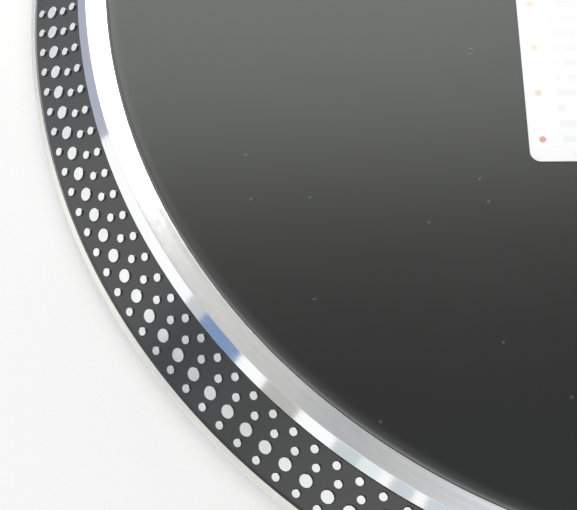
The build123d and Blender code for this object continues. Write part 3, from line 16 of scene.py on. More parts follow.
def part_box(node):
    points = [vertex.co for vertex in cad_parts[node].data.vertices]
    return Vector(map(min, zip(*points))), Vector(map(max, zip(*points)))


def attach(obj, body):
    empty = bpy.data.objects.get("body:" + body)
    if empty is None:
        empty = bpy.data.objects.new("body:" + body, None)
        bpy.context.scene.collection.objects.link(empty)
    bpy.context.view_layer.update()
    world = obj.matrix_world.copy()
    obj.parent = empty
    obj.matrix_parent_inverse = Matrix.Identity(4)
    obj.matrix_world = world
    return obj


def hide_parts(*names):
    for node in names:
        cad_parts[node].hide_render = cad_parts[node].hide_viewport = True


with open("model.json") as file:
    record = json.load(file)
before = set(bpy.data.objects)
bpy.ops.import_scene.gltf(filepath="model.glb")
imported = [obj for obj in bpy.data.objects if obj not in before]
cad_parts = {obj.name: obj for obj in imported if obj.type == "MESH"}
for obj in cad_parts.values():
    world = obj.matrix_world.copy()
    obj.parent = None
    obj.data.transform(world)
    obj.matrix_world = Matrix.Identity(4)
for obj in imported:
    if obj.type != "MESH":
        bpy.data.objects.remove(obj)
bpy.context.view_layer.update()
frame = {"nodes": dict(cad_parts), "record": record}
MM = 0.001
behaviour, subparts = frame["record"]["behaviour"], frame["record"]["subparts"]
joints = {joint["name"]: joint for joint in behaviour["joints"]}
body_of = {solid: body for body, solids in behaviour["bodies"].items() for solid in solids}
slot_of = {part["node"]: part["material_slot"] for part in subparts}

# %% [markdown]
# ## The camera
# The photograph looks down on the left front of the platter from close by. A camera needs a place and
# three directions: where it looks, what is right and what is up. They come from a yaw, a pitch and a roll.

# %% Camera at the photograph's place
CAMERA_PLACE = (-153.991, -205.940, 398.918)
YAW, PITCH, ROLL = math.radians(1.6157), math.radians(-65.2256), math.radians(0.9820)
FOCAL_PIXELS, IMAGE_WIDTH, SENSOR = 1477.92, 577, 36.0

look = Vector((math.sin(YAW) * math.cos(PITCH), math.cos(YAW) * math.cos(PITCH), math.sin(PITCH)))
level = Vector((math.cos(YAW), -math.sin(YAW), 0.0))
over = level.cross(look)
across = math.cos(ROLL) * level + math.sin(ROLL) * over
upward = math.cos(ROLL) * over - math.sin(ROLL) * level
camera = bpy.data.objects.new("camera", bpy.data.cameras.new("camera"))
camera.data.sensor_width = SENSOR
camera.data.lens = SENSOR * FOCAL_PIXELS / IMAGE_WIDTH
camera.data.clip_start = 0.01
turn = Matrix((across, upward, -look)).transposed().to_4x4()
camera.matrix_world = Matrix.Translation(Vector(CAMERA_PLACE) * MM) @ turn
bpy.context.collection.objects.link(camera)
bpy.context.scene.camera = camera
print("camera: lens %.1f mm" % camera.data.lens)

# %% [markdown]
# ## Surfaces from grids
# Nearly every piece here is turned on a lathe: a profile carried round an axis. That is a grid of points,
# one way round the axis and the other along the profile. Numpy makes all points at once, and the faces are
# one pattern of four neighbours everywhere, so no loop over points is needed.

# %% Faces of a grid
UP = np.array([0.0, 0.0, 1.0])


def angles(count):
    """Equal angles round a turn: 0, 1, 2 and so on times a whole turn over the count."""
    return np.arange(count) * 2 * np.pi / count


def level_way(angle):
    """Unit directions on the level at angles: cosine, sine and 0."""
    return np.stack([np.cos(angle), np.sin(angle), np.zeros_like(angle)], axis=-1)


def grid_quads(number):
    """Corners of every quad of a grid that closes both ways: a point, its neighbour in the next row, the
    one across from it, and its neighbour in the next column."""
    below = np.roll(number, -1, axis=0)
    quads = np.stack([number, below, np.roll(below, -1, axis=1), np.roll(number, -1, axis=1)], axis=-1)
    return quads.reshape(-1, 4)


def close_poles(quads, which):
    """A quad with two corners on one pole becomes a triangle, and one with both ends on poles goes."""
    start = quads[:, 0] == quads[:, 1]
    end = quads[:, 2] == quads[:, 3]
    whole, first, last = ~start & ~end, start & ~end, end & ~start
    faces = [quads[whole], quads[first][:, 1:], quads[last][:, :3]]
    return faces, np.concatenate([which[whole], which[first], which[last]])


def new_object(name, points, polygons, materials):
    """An object at the origin with a mesh of its own."""
    mesh = bpy.data.meshes.new(name)
    mesh.from_pydata(points.tolist(), [], polygons)
    for material in materials:
        mesh.materials.append(material)
    made = bpy.data.objects.new(name, mesh)
    bpy.context.collection.objects.link(made)
    return made


def new_piece(name, solid, points, faces, materials, smooth=38.0, which=0):
    """Makes a piece from points and arrays of faces. It takes the place of a solid, with its body.
    Points that no face uses are left out. Edges over smooth degrees stay sharp."""
    body, slot, replaces = body_of[solid], slot_of[solid], [solid]
    used, corners = np.unique(np.concatenate([part.ravel() for part in faces]), return_inverse=True)
    pieces = np.split(corners.ravel(), np.cumsum([part.size for part in faces])[:-1])
    polygons = sum([ids.reshape(part.shape).tolist() for part, ids in zip(faces, pieces)], [])
    piece = new_object(name, points.reshape(-1, 3)[used], polygons, materials)
    count = len(polygons)
    piece.data.polygons.foreach_set("use_smooth", np.ones(count, bool))
    piece.data.polygons.foreach_set("material_index", np.broadcast_to(which, count).astype(np.int32))
    piece.data.set_sharp_from_angle(angle=math.radians(smooth))
    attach(piece, body)
    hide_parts(*replaces)
    print(name + ":", count, "faces")


print("faces: grids, poles, pieces")

# %% [markdown]
# A turned part has no perfectly sharp corner, and the small rounding is what catches the light. So each
# corner of a profile is rounded before it is turned.

# %% Profiles and turning
SIDE_SHARE, FLAT_REACH, OUTER_SHARE, UPRIGHT, RIB_STEPS = 0.3, 1.5, 0.8, 0.9, 6


def soften(corners, sizes, steps=5):
    """Rounds each corner P of a closed profile: (1-t)^2 A + 2t(1-t) P + t^2 B, where A and B lie on the two
    sides at the corner's size, with one more point on each side so that the flats stay flat. A size is at
    most SIDE_SHARE of the shorter side. A corner of size 0 stays one point."""
    corners = np.asarray(corners, float)
    sides = np.stack([np.roll(corners, way, axis=0) - corners for way in (1, -1)])
    lengths = np.linalg.norm(sides, axis=-1)
    size = np.minimum(sizes, SIDE_SHARE * lengths.min(axis=0))
    back, ahead = (sides / lengths[..., None] * size[:, None])[:, :, None]
    middle = corners[:, None]
    t = np.linspace(0.0, 1.0, steps)[None, :, None]
    arc = (1 - t) ** 2 * (middle + back) + 2 * t * (1 - t) * middle + t**2 * (middle + ahead)
    line = np.concatenate([middle + FLAT_REACH * back, arc, middle + FLAT_REACH * ahead], axis=1)
    keep = np.ones(line.shape[:2], bool)
    keep[size == 0, 1:] = False
    return line[keep]


def axes_of(direction):
    """Two unit directions square to a direction, right-handed with it."""
    ahead = np.asarray(direction, float) / np.linalg.norm(direction)
    helper = UP if abs(ahead[2]) < UPRIGHT else np.array([0.0, 1.0, 0.0])
    first = np.cross(helper, ahead)
    first /= np.linalg.norm(first)
    return first, np.cross(ahead, first), ahead


def turned(name, solid, profile, materials, origin, direction=(0, 0, 1), segments=0, ribs=0, depth=0.0,
           rib_span=(0.0, 0.0), which=0):
    """Turns a closed profile of (radius, height) in millimetres about an axis. Where the height lies in
    rib_span, the radius falls by depth times 1 - |sin(ribs * angle / 2)|, which gives a grip. All points
    of a profile corner on the axis share one number, so the poles are closed. which gives the material of
    each step along the profile."""
    segments = segments or RIB_STEPS * ribs
    angle = angles(segments)
    radius = np.tile(profile[:, 0], (segments, 1))
    height = profile[None, :, 1]
    if ribs:
        wave = 1.0 - np.abs(np.sin(ribs * angle / 2))[:, None]
        outer = radius > OUTER_SHARE * profile[:, 0].max()
        radius -= depth * wave * ((height > rib_span[0]) & (height < rib_span[1]) & outer)
    first, second, ahead = axes_of(direction)
    spin = np.cos(angle)[:, None, None] * first + np.sin(angle)[:, None, None] * second
    points = np.asarray(origin, float) + (radius[..., None] * spin + height[..., None] * ahead) * MM
    number = np.arange(radius.size).reshape(radius.shape)
    pole = profile[:, 0] == 0
    number[:, pole] = number[0, pole]
    faces, index = close_poles(grid_quads(number), np.tile(np.broadcast_to(which, len(profile)), segments))
    new_piece(name, solid, points, faces, materials, which=index)


print("turning: rounded profiles, axes, lathe")

# %% [markdown]
# ## Shared effects
# Real finishes share a few effects: a fine grain, a little dust, rubbed edges, the rings that a lathe tool
# leaves, and faint smudges. Each is one node group with named sockets, so that every material sets its own
# values. The groups put out masks, values and normals only, and the shader stays in the material.

# %% Node helpers
def node(tree, kind, inputs=None, **settings):
    """Adds a shader node with its settings; an input that is a socket is linked, any other is set."""
    made = tree.nodes.new("ShaderNode" + kind)
    for key, value in settings.items():
        setattr(made, key, value)
    for key, value in (inputs or {}).items():
        if isinstance(value, bpy.types.NodeSocket):
            tree.links.new(value, made.inputs[key])
        else:
            made.inputs[key].default_value = value
    return made


def maths(tree, operation, *values):
    """One Math node on numbers or sockets."""
    return node(tree, "Math", dict(enumerate(values)), operation=operation).outputs[0]


def within(tree, value, half):
    """1 where a value lies less than half away from 0."""
    return maths(tree, "LESS_THAN", maths(tree, "ABSOLUTE", value), half)


def between(tree, value, low, high):
    """1 where a value lies between two others."""
    above = maths(tree, "GREATER_THAN", value, low)
    return product(tree, above, maths(tree, "LESS_THAN", value, high))


def product(tree, first, *others):
    """The product of all values; of masks, the places where all of them are 1."""
    for other in others:
        first = maths(tree, "MULTIPLY", first, other)
    return first


def distance(tree, first, second):
    """How far two values lie apart."""
    return maths(tree, "ABSOLUTE", maths(tree, "SUBTRACT", first, second))


def ramp(tree, value, low, high, start=0.0, end=1.0):
    """Maps a value from low..high to start..end, held at both ends."""
    names = {"Value": value, "From Min": low, "From Max": high, "To Min": start, "To Max": end}
    return node(tree, "MapRange", names).outputs[0]


def mix_colour(tree, factor, first, second):
    """Mixes two colours by a factor."""
    return node(tree, "Mix", {0: factor, 6: first, 7: second}, data_type="RGBA").outputs[2]


def from_axis(tree, vector):
    """Distance from the upright axis: the length of a vector's level part."""
    flat = node(tree, "VectorMath", {0: vector, 1: (1.0, 1.0, 0.0)}, operation="MULTIPLY").outputs[0]
    return node(tree, "VectorMath", {0: flat}, operation="LENGTH").outputs["Value"]


def new_group(name, inputs, outputs):
    """An empty node group with float inputs, and vector ones where the value is a tuple."""
    tree = bpy.data.node_groups.new(name, "ShaderNodeTree")
    for label, value in inputs.items():
        kind = "NodeSocketVector" if isinstance(value, tuple) else "NodeSocketFloat"
        tree.interface.new_socket(name=label, in_out="INPUT", socket_type=kind).default_value = value
    for label in outputs:
        kind = "NodeSocketVector" if label == "Normal" else "NodeSocketFloat"
        tree.interface.new_socket(name=label, in_out="OUTPUT", socket_type=kind)
    return tree, tree.nodes.new("NodeGroupInput").outputs, tree.nodes.new("NodeGroupOutput").inputs


def effect(tree, name, inputs):
    """Places a shared effect in a material."""
    return node(tree, "Group", inputs, node_tree=bpy.data.node_groups[name]).outputs


print("node helpers: values, masks, colours, groups")

# %% Grain, dust and lint
ORIGIN = (0.0, 0.0, 0.0)
tree, given, result = new_group("fine_grain", {"Vector": ORIGIN, "Scale": 900.0}, ["Value"])
speckle = node(tree, "TexNoise", {"Vector": given["Vector"], "Scale": given["Scale"], "Detail": 3.0})
tree.links.new(ramp(tree, speckle.outputs[0], 0.3, 0.7), result["Value"])


def chosen_cells(tree, given, dimensions):
    """Voronoi cells: the distance from each cell's point, and 1 in the chosen share of the cells."""
    where = {"Vector": given["Vector"], "Scale": given["Scale"]}
    cells = node(tree, "TexVoronoi", where, voronoi_dimensions=dimensions).outputs
    value = node(tree, "SeparateColor", {0: cells["Color"]}).outputs[0]
    return cells["Distance"], maths(tree, "LESS_THAN", value, given["Share"])


cell_inputs = {"Vector": ORIGIN, "Scale": 120.0, "Share": 0.1}
tree, given, result = new_group("dust_specks", {**cell_inputs, "Size": 0.05}, ["Mask"])
away, chosen = chosen_cells(tree, given, "3D")
near = maths(tree, "LESS_THAN", away, given["Size"])
tree.links.new(product(tree, chosen, near), result["Mask"])

lint_inputs = {**cell_inputs, "Curl": 0.0, "Width": 0.05, "Part": 0.0}
tree, given, result = new_group("lint_on_a_flat", lint_inputs, ["Mask"])
away, chosen = chosen_cells(tree, given, "2D")
near = ramp(tree, distance(tree, away, given["Curl"]), given["Width"], 0.0)
breaks = node(tree, "TexNoise", {"Vector": given["Vector"], "Scale": 420.0, "Detail": 1.0})
kept = maths(tree, "GREATER_THAN", breaks.outputs[0], given["Part"])
tree.links.new(product(tree, chosen, near, kept), result["Mask"])
print("effects: grain, dust, lint")

# %% Edges, turning rings and smudges
tree, given, result = new_group("rubbed_edges", {"Radius": 0.0005}, ["Mask", "Normal"])
rounded = node(tree, "Bevel", {"Radius": given["Radius"]}, samples=4).outputs[0]
facing = node(tree, "NewGeometry").outputs["Normal"]
likeness = node(tree, "VectorMath", {0: rounded, 1: facing}, operation="DOT_PRODUCT").outputs["Value"]
tree.links.new(ramp(tree, likeness, 0.97, 0.75), result["Mask"])
tree.links.new(rounded, result["Normal"])

tree, given, result = new_group("turning_rings", {"Vector": ORIGIN, "Lines": 3000.0}, ["Value"])
along = product(tree, from_axis(tree, given["Vector"]), given["Lines"])
cuts = node(tree, "TexNoise", {"W": along, "Scale": 1.0, "Detail": 3.0}, noise_dimensions="1D")
tree.links.new(ramp(tree, cuts.outputs[0], 0.25, 0.75), result["Value"])

smudge_inputs = {"Vector": ORIGIN, "Scale": 18.0, "Low": 0.5, "High": 0.75}
tree, given, result = new_group("soft_smudges", smudge_inputs, ["Mask"])
cloud_inputs = {"Vector": given["Vector"], "Scale": given["Scale"], "Detail": 5.0, "Distortion": 0.6}
cloud = node(tree, "TexNoise", cloud_inputs)
tree.links.new(ramp(tree, cloud.outputs[0], given["Low"], given["High"]), result["Mask"])
print("effects: edges, rings, smudges")

# %% [markdown]
# Scales are printed as short lines round a middle. The angle of a point, times the number of lines in a
# turn, is a whole number on each line, so the distance to the nearest whole number draws them all at once.

# %% Printed lines round a dial
FULL_TURN = 2 * math.pi
dial_inputs = {"Vector": ORIGIN, "Count": 12.0, "Inner": 0.01, "Outer": 0.02, "Half": 0.0003}
tree, given, result = new_group("dial_lines", dial_inputs, ["Mask"])
x, y, _ = node(tree, "SeparateXYZ", {0: given["Vector"]}).outputs
reach = from_axis(tree, given["Vector"])
share = maths(tree, "DIVIDE", maths(tree, "ARCTAN2", y, x), FULL_TURN)
lines = product(tree, share, given["Count"])
off_line = distance(tree, lines, maths(tree, "ROUND", lines))
line_pitch = product(tree, reach, maths(tree, "DIVIDE", FULL_TURN, given["Count"]))
on_line = maths(tree, "LESS_THAN", product(tree, off_line, line_pitch), given["Half"])
in_reach = between(tree, reach, given["Inner"], given["Outer"])
tree.links.new(product(tree, on_line, in_reach), result["Mask"])
print("effects:", [group.name for group in bpy.data.node_groups])

# %% [markdown]
# ## One recipe for most finishes
# A finish is a colour that wavers a little with the grain, a roughness that wavers with the smudges, edges
# that are rounded by the Bevel node and rubbed lighter, and a few specks of dust. Metals add the rings of
# the lathe. The recipe takes these as plain numbers, and each finish on the object names its own.

# %% The recipe
DUST_TONE = (0.55, 0.54, 0.52, 1.0)
DUST_WEIGHT, RUB_WEIGHT, ROUGH_WAVER, RING_SHADE, RING_ROUGHNESS = 0.35, 0.6, 0.1, 0.82, 0.06


def shader_of(material):
    """Inputs of a material's shader."""
    return material.node_tree.nodes["Principled BSDF"].inputs


def new_material(name):
    """A material, its node tree and the inputs of its shader."""
    material = bpy.data.materials.new(name)
    material.use_nodes = True
    return material, material.node_tree, shader_of(material)


def shade(colour, factor):
    """A colour made lighter or darker, as four numbers."""
    return tuple(min(1.0, part * factor) for part in colour[:3]) + (1.0,)


def centred(tree, centre, tilt=ORIGIN):
    """Object coordinates moved to a centre, and turned so that the piece's axis is upright."""
    place = node(tree, "TexCoord").outputs["Object"]
    inputs = {"Vector": place, "Location": tuple(centre), "Rotation": tilt}
    return node(tree, "Mapping", inputs, vector_type="TEXTURE").outputs[0]


def finish(name, colour, roughness, metallic=0.0, grain=700.0, waver=0.06, bump=2e-5, edge=4e-4, rub=1.3,
           dust=0.04, smudge=0.06, centre=None, tilt=ORIGIN, lines=0.0, ring_bump=2e-6, ring_tone=0.25):
    """A procedural material; lines > 0 adds turning rings about the axis through centre. Edges and bumps are
    in metres."""
    material, tree, shader = new_material(name)
    place = node(tree, "TexCoord").outputs["Object"]
    value = effect(tree, "fine_grain", {"Vector": place, "Scale": grain})["Value"]
    cloud = effect(tree, "soft_smudges", {"Vector": place})["Mask"]
    specks = effect(tree, "dust_specks", {"Vector": place, "Share": dust})["Mask"]
    edges = effect(tree, "rubbed_edges", {"Radius": edge})
    tone = mix_colour(tree, value, shade(colour, 1 - waver), shade(colour, 1 + waver))
    tone = mix_colour(tree, product(tree, edges["Mask"], RUB_WEIGHT), tone, shade(colour, rub))
    low, high = roughness * (1 - ROUGH_WAVER), roughness * (1 + ROUGH_WAVER)
    rough = maths(tree, "ADD", ramp(tree, value, 0.0, 1.0, low, high), product(tree, cloud, smudge))
    height = product(tree, value, bump)
    if lines:
        ring_inputs = {"Vector": centred(tree, centre, tilt), "Lines": lines}
        rings = effect(tree, "turning_rings", ring_inputs)["Value"]
        tone = mix_colour(tree, product(tree, rings, ring_tone), tone, shade(colour, RING_SHADE))
        rough = maths(tree, "ADD", rough, product(tree, rings, RING_ROUGHNESS))
        height = maths(tree, "ADD", height, product(tree, rings, ring_bump))
    tone = mix_colour(tree, product(tree, specks, DUST_WEIGHT), tone, DUST_TONE)
    bump_inputs = {"Strength": 1.0, "Distance": 1.0, "Height": height, "Normal": edges["Normal"]}
    relief = node(tree, "Bump", bump_inputs).outputs[0]
    for socket, source in (("Base Color", tone), ("Roughness", rough), ("Normal", relief)):
        tree.links.new(source, shader[socket])
    shader["Metallic"].default_value = metallic
    return material


def add_print(material, mask, colour):
    """Prints a colour over a finish where the mask is 1."""
    tree = material.node_tree
    target = shader_of(material)["Base Color"]
    tree.links.new(mix_colour(tree, mask, target.links[0].from_socket, colour), target)


spindle_place = Vector(joints["platter_spin"]["pos_m"])
pivot_place = Vector(joints["arm_swing"]["pos_m"])
print("spindle at", [round(v, 4) for v in spindle_place], "arm pivot at", [round(v, 4) for v in pivot_place])

# %% [markdown]
# ## The plain finishes
# Paint, plastics, steels and the coloured metals of the pieces inside. Colours are linear values of what
# the eye would call white, charcoal, copper and so on. The plinth is smooth satin paint; the base under it
# is a moulding with a fine grain, so that it doesn't shine. Handled metal is kept free of dust.

# %% Finishes of the plinth, the electronics and the arm
AXIS_Y = (math.radians(90.0), 0.0, 0.0)
CLEAN = {"metallic": 1.0, "dust": 0.0}


def anodised(name, dust=0.0):
    """Black anodised metal, the finish of dials and of the fader's plate."""
    return finish(name, (0.03, 0.03, 0.032), 0.38, grain=1400.0, waver=0.1, bump=1e-5, edge=3e-4, dust=dust)


finishes = {
    "plinth_paint": finish("white_paint", (0.9, 0.9, 0.895), 0.36, grain=1500.0, waver=0.012, bump=6e-6,
        edge=9e-4, rub=1.04, dust=0.008),
    "base_dark": finish("charcoal_moulding", (0.042, 0.043, 0.045), 0.6, grain=1100.0, waver=0.12, bump=5e-5,
        edge=8e-4, dust=0.006),
    "sheet_steel": finish("zinc_sheet", (0.55, 0.56, 0.57), 0.36, 1.0, grain=160.0, waver=0.12, edge=3e-4),
    "screw_steel": finish("screw_steel", (0.56, 0.56, 0.56), 0.3, bump=2e-6, edge=2e-4, **CLEAN),
    "bearing_steel": finish("bearing_steel", (0.62, 0.62, 0.62), 0.24, bump=2e-6, edge=3e-4, **CLEAN),
    "bronze": finish("bronze", (0.55, 0.35, 0.17), 0.34, bump=4e-6, **CLEAN),
    "pad_plastic": finish("white_plastic", (0.75, 0.73, 0.68), 0.45),
    "lamination": finish("laminated_iron", (0.2, 0.2, 0.21), 0.45, 0.8, grain=2200.0, waver=0.2),
    "copper_wire": finish("copper_wire", (0.62, 0.25, 0.1), 0.32, 0.9, grain=1800.0, waver=0.25, bump=8e-5),
    "board_green": finish("circuit_board", (0.03, 0.16, 0.07), 0.4, grain=260.0, waver=0.3),
    "black_plastic": finish("black_plastic", (0.022, 0.022, 0.023), 0.42, grain=1600.0, waver=0.15,
        edge=3e-4, dust=0.01),
    "brass_plate": finish("gilt_brass", (0.78, 0.56, 0.22), 0.24, bump=2e-6, edge=2e-4, **CLEAN),
    "magnet": finish("ferrite", (0.07, 0.07, 0.075), 0.6, grain=500.0, waver=0.2),
    "arm_metal": finish("satin_aluminium", (0.5, 0.505, 0.515), 0.36, grain=1200.0, waver=0.04, bump=3e-6,
        edge=5e-4, **CLEAN),
    "arm_chrome": finish("bright_plating", (0.7, 0.705, 0.715), 0.09, grain=500.0, waver=0.02, bump=1e-6,
        edge=2e-4, smudge=0.04, **CLEAN),
    "button_metal": finish("button_aluminium", (0.3, 0.302, 0.308), 0.42, grain=1400.0, waver=0.05,
        bump=4e-6, edge=4e-4, **CLEAN),
    "stylus_red": finish("red_plastic", (0.5, 0.03, 0.02), 0.28, grain=600.0, dust=0.0),
    "foot_rubber": finish("foot_rubber", (0.025, 0.025, 0.026), 0.7, grain=900.0, waver=0.2, bump=6e-5),
    "dial_black": anodised("black_anodised", 0.01),
    "spindle_steel": finish("spindle_steel", (0.72, 0.72, 0.73), 0.16, waver=0.02, bump=0.0,
        centre=spindle_place, lines=4000.0, **CLEAN),
    "weight_steel": finish("turned_steel", (0.5, 0.5, 0.51), 0.22, waver=0.02, bump=0.0, edge=4e-5,
        centre=pivot_place, tilt=AXIS_Y, lines=2600.0, **CLEAN),
}
print("finishes:", len(finishes))

# %% [markdown]
# ## The platter's metal
# The platter is cast and then turned bright. Its flat ring keeps the fine rings of the tool, which show as
# streaks round the spindle. The bevel beside it is polished like a mirror. The lip at the rim is duller and
# warmer, because hands touch it. One mesh carries all of these, and each step of its profile picks one.

# %% Turned, polished and dull aluminium
TURNED = {"waver": 0.005, "bump": 0.0, "centre": spindle_place, **CLEAN}
turned_metal = finish("turned_aluminium", (0.93, 0.927, 0.915), 0.12, edge=1.5e-4, smudge=0.015, lines=900.0,
                      ring_bump=1.5e-6, ring_tone=0.7, **TURNED)
polished_metal = finish("polished_bevel", (0.87, 0.872, 0.88), 0.05, edge=1e-4, smudge=0.1, lines=2500.0,
                        ring_bump=3e-7, ring_tone=0.1, **TURNED)
lip_metal = finish("lip_metal", (0.86, 0.85, 0.8), 0.38, waver=0.01, bump=0.0, edge=5e-5, smudge=0.02,
                   **CLEAN)
cast_metal = finish("cast_underside", (0.6, 0.6, 0.61), 0.5, 1.0, grain=420.0, waver=0.1, bump=5e-5)
finishes["platter_metal"] = turned_metal
print("platter metals: turned, polished, lip, cast")

# %% Platter's profile
PLATTER_RADIUS, LIP_HEIGHT, LIP_RUN, LIP_RISE = 165.8, 1.6, 1.06, 1.14
BAND_ANGLE, BAND_WIDTH = math.radians(42.33), 15.75
BAND_THICKNESS, DOT_HEIGHT = 0.6, 0.4
BEVEL_RUN, BEVEL_RISE, RING_WIDTH, MAT_RECESS = 2.09, 2.6, 4.75, 2.4
DECK, HUB_DROP, SKIRT, HUB_RADIUS, NECK_RADIUS = 4.5, 5.4, 7.0, 24.0, 8.0

seat_depth = BAND_THICKNESS + DOT_HEIGHT
slope_run, slope_rise = math.cos(BAND_ANGLE), math.sin(BAND_ANGLE)
rim_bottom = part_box("platter")[0].z / MM
band_low = (PLATTER_RADIUS - LIP_RUN, rim_bottom + LIP_HEIGHT + LIP_RISE)


def on_band(along, rise):
    """Radius and height at a distance up the sloping band, and a rise square to its dots' tops."""
    radius = band_low[0] - along * slope_run + rise * slope_rise
    return radius, band_low[1] + along * slope_rise + rise * slope_run


band_top = on_band(BAND_WIDTH, 0.0)
ring_outer, ring_height = band_top[0] - BEVEL_RUN, band_top[1] + BEVEL_RISE
ring_inner, deck_height = ring_outer - RING_WIDTH, ring_height - MAT_RECESS
deck_under = deck_height - DECK
hub_bottom = deck_under - HUB_DROP
skirt_inner = PLATTER_RADIUS - SKIRT
skirt_top = skirt_inner - (deck_under - rim_bottom) * slope_run / slope_rise
cad_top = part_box("platter")[1].z / MM
print("platter: rim %.2f, ring %.2f, CAD box top %.2f mm" % (rim_bottom, ring_height, cad_top))

# %% Platter piece
RIM_SEGMENTS = 720
CLOSE, UNDER = 0.05, 3.0
platter_corners = [
    (skirt_inner, rim_bottom), (PLATTER_RADIUS, rim_bottom), (PLATTER_RADIUS, rim_bottom + LIP_HEIGHT),
    band_low, on_band(0, -seat_depth), on_band(BAND_WIDTH, -seat_depth), band_top,
    (ring_outer, ring_height), (ring_inner, ring_height), (ring_inner, deck_height),
    (NECK_RADIUS, deck_height), (NECK_RADIUS, hub_bottom), (HUB_RADIUS, hub_bottom),
    (HUB_RADIUS, deck_under), (skirt_top, deck_under),
]
platter_rounding = [0.4, 0.3, 0.35, 0.1, 0.1, 0.1, 0.06, 0.1, 0.07, 0.2, 0.4, 0.4, 0.6, 1.2, 1.2]
axis_foot = (spindle_place.x, spindle_place.y, 0.0)
profile = soften(platter_corners, platter_rounding)
radius, height = ((profile + np.roll(profile, -1, axis=0)) / 2).T
over_band = (radius - band_low[0]) * slope_rise + (height - band_low[1]) * slope_run
on_bevel = (radius > ring_outer) & (height > band_top[1] + CLOSE)
on_lip = (radius > band_low[0] - CLOSE) & (height < band_low[1] + CLOSE)
beneath = (height < rim_bottom + 2 * CLOSE) | ((over_band < -UNDER) & (height < deck_height))
metal_of = np.select([on_bevel, (radius < ring_inner) | beneath, on_lip], [1, 2, 3], 0)
turned("turned_platter", "platter", profile, [turned_metal, polished_metal, cast_metal, lip_metal],
       axis_foot, segments=RIM_SEGMENTS, which=metal_of)

# %% [markdown]
# ## The strobe band and its dots
# The black band slopes down to the lip. It is sunk a little, so that the tops of its dots are level with
# the metal on both sides: on the real platter one cut of the lathe makes them all. Each dot is a round
# button with a bright top and black sides that flare into the band. Each row has its own count, because
# each stands still in the lamp's light at another speed. One dot is a small grid of rings, and a product
# of arrays copies it.

# %% Black band
band_black = finish("band_black", (0.004, 0.004, 0.005), 0.22, grain=1300.0, waver=0.2, bump=4e-6, edge=1e-4,
                    dust=0.004, smudge=0.06)
shader_of(band_black)["Specular IOR Level"].default_value = 1.0
finishes["band_black"] = band_black
band_corners = [on_band(0, -seat_depth), on_band(0, 0), on_band(DOT_HEIGHT, -DOT_HEIGHT),
                on_band(BAND_WIDTH - DOT_HEIGHT, -DOT_HEIGHT), on_band(BAND_WIDTH, 0),
                on_band(BAND_WIDTH, -seat_depth)]
turned("dotted_band", "strobe_band", soften(band_corners, [0.05, 0.03, 0.2, 0.2, 0.03, 0.05]), [band_black],
       axis_foot, segments=RIM_SEGMENTS)

# %% One dot, copied round the band
DOT_SIDES, DOT_SMOOTH = 14, 30.0
DOT_RINGS = np.array([(1.22, -0.1), (1.05, 0.25), (1.0, 0.9), (0.965, 1.0)])
dot_silver = finish("dot_silver", (0.8, 0.805, 0.805), 0.2, grain=300.0, bump=0.0, edge=3e-5, smudge=0.03,
                    **CLEAN)
finishes["dot_metal"] = dot_silver


def dot_row(along, count, first, radius):
    """Points of a row: ring radius and height from DOT_RINGS, placed round the cone of the band."""
    spin = np.radians(first) + angles(count)
    around = angles(DOT_SIDES)
    outward = level_way(spin)[:, None, None]
    sideways = np.cross(UP, outward)
    climb = -slope_run * outward + slope_rise * UP
    normal = slope_rise * outward + slope_run * UP
    reach, height = on_band(along, 0.0)
    spread, rise = radius * DOT_RINGS[:, 0, None], DOT_HEIGHT * (DOT_RINGS[:, 1, None] - 1.0)
    points = reach * outward + height * UP + (spread * np.cos(around))[None, ..., None] * sideways
    points = points + (spread * np.sin(around))[None, ..., None] * climb + rise[None, ..., None] * normal
    return (points * MM + np.asarray(axis_foot)).reshape(count, -1, 3)


def dot_faces(count):
    """Quads between the rings of each dot, and its flat bottom and top with all their corners."""
    rings = len(DOT_RINGS)
    number = np.arange(rings * DOT_SIDES).reshape(rings, DOT_SIDES)
    turned_on = np.roll(number, -1, axis=1)
    quads = np.stack([number[:-1], turned_on[:-1], turned_on[1:], number[1:]], axis=-1).reshape(-1, 4)
    shift = np.arange(count)[:, None, None] * number.size
    ends = [(part[None] + shift[:, 0]) for part in (number[0, ::-1], number[-1])]
    return [(quads[None] + shift).reshape(-1, 4), *ends]


def dot_piece(name, solid, rows):
    """All dots of one size as a piece: black sides, bright tops."""
    points = np.concatenate([dot_row(*row) for row in rows])
    faces = dot_faces(len(points))
    edge_quads = np.repeat(np.arange(len(DOT_RINGS) - 1) == len(DOT_RINGS) - 2, DOT_SIDES)
    which = np.concatenate([np.tile(edge_quads, len(points)), np.zeros(len(points)), np.ones(len(points))])
    new_piece(name, solid, points, faces, [band_black, dot_silver], DOT_SMOOTH, which)


print("dot:", len(DOT_RINGS), "rings of", DOT_SIDES, "points")

# %% Four rows: distance up the band, count, first angle, radius
LARGE, SMALL = 1.53, 0.96
dot_piece("large_dots", "strobe_dots_large", [(6.41, 180, 0.857, LARGE)])
dot_piece("small_dots", "strobe_dots_small",
          [(2.61, 186, 0.404, SMALL), (10.27, 174, 1.343, SMALL), (13.57, 170, 1.421, SMALL)])
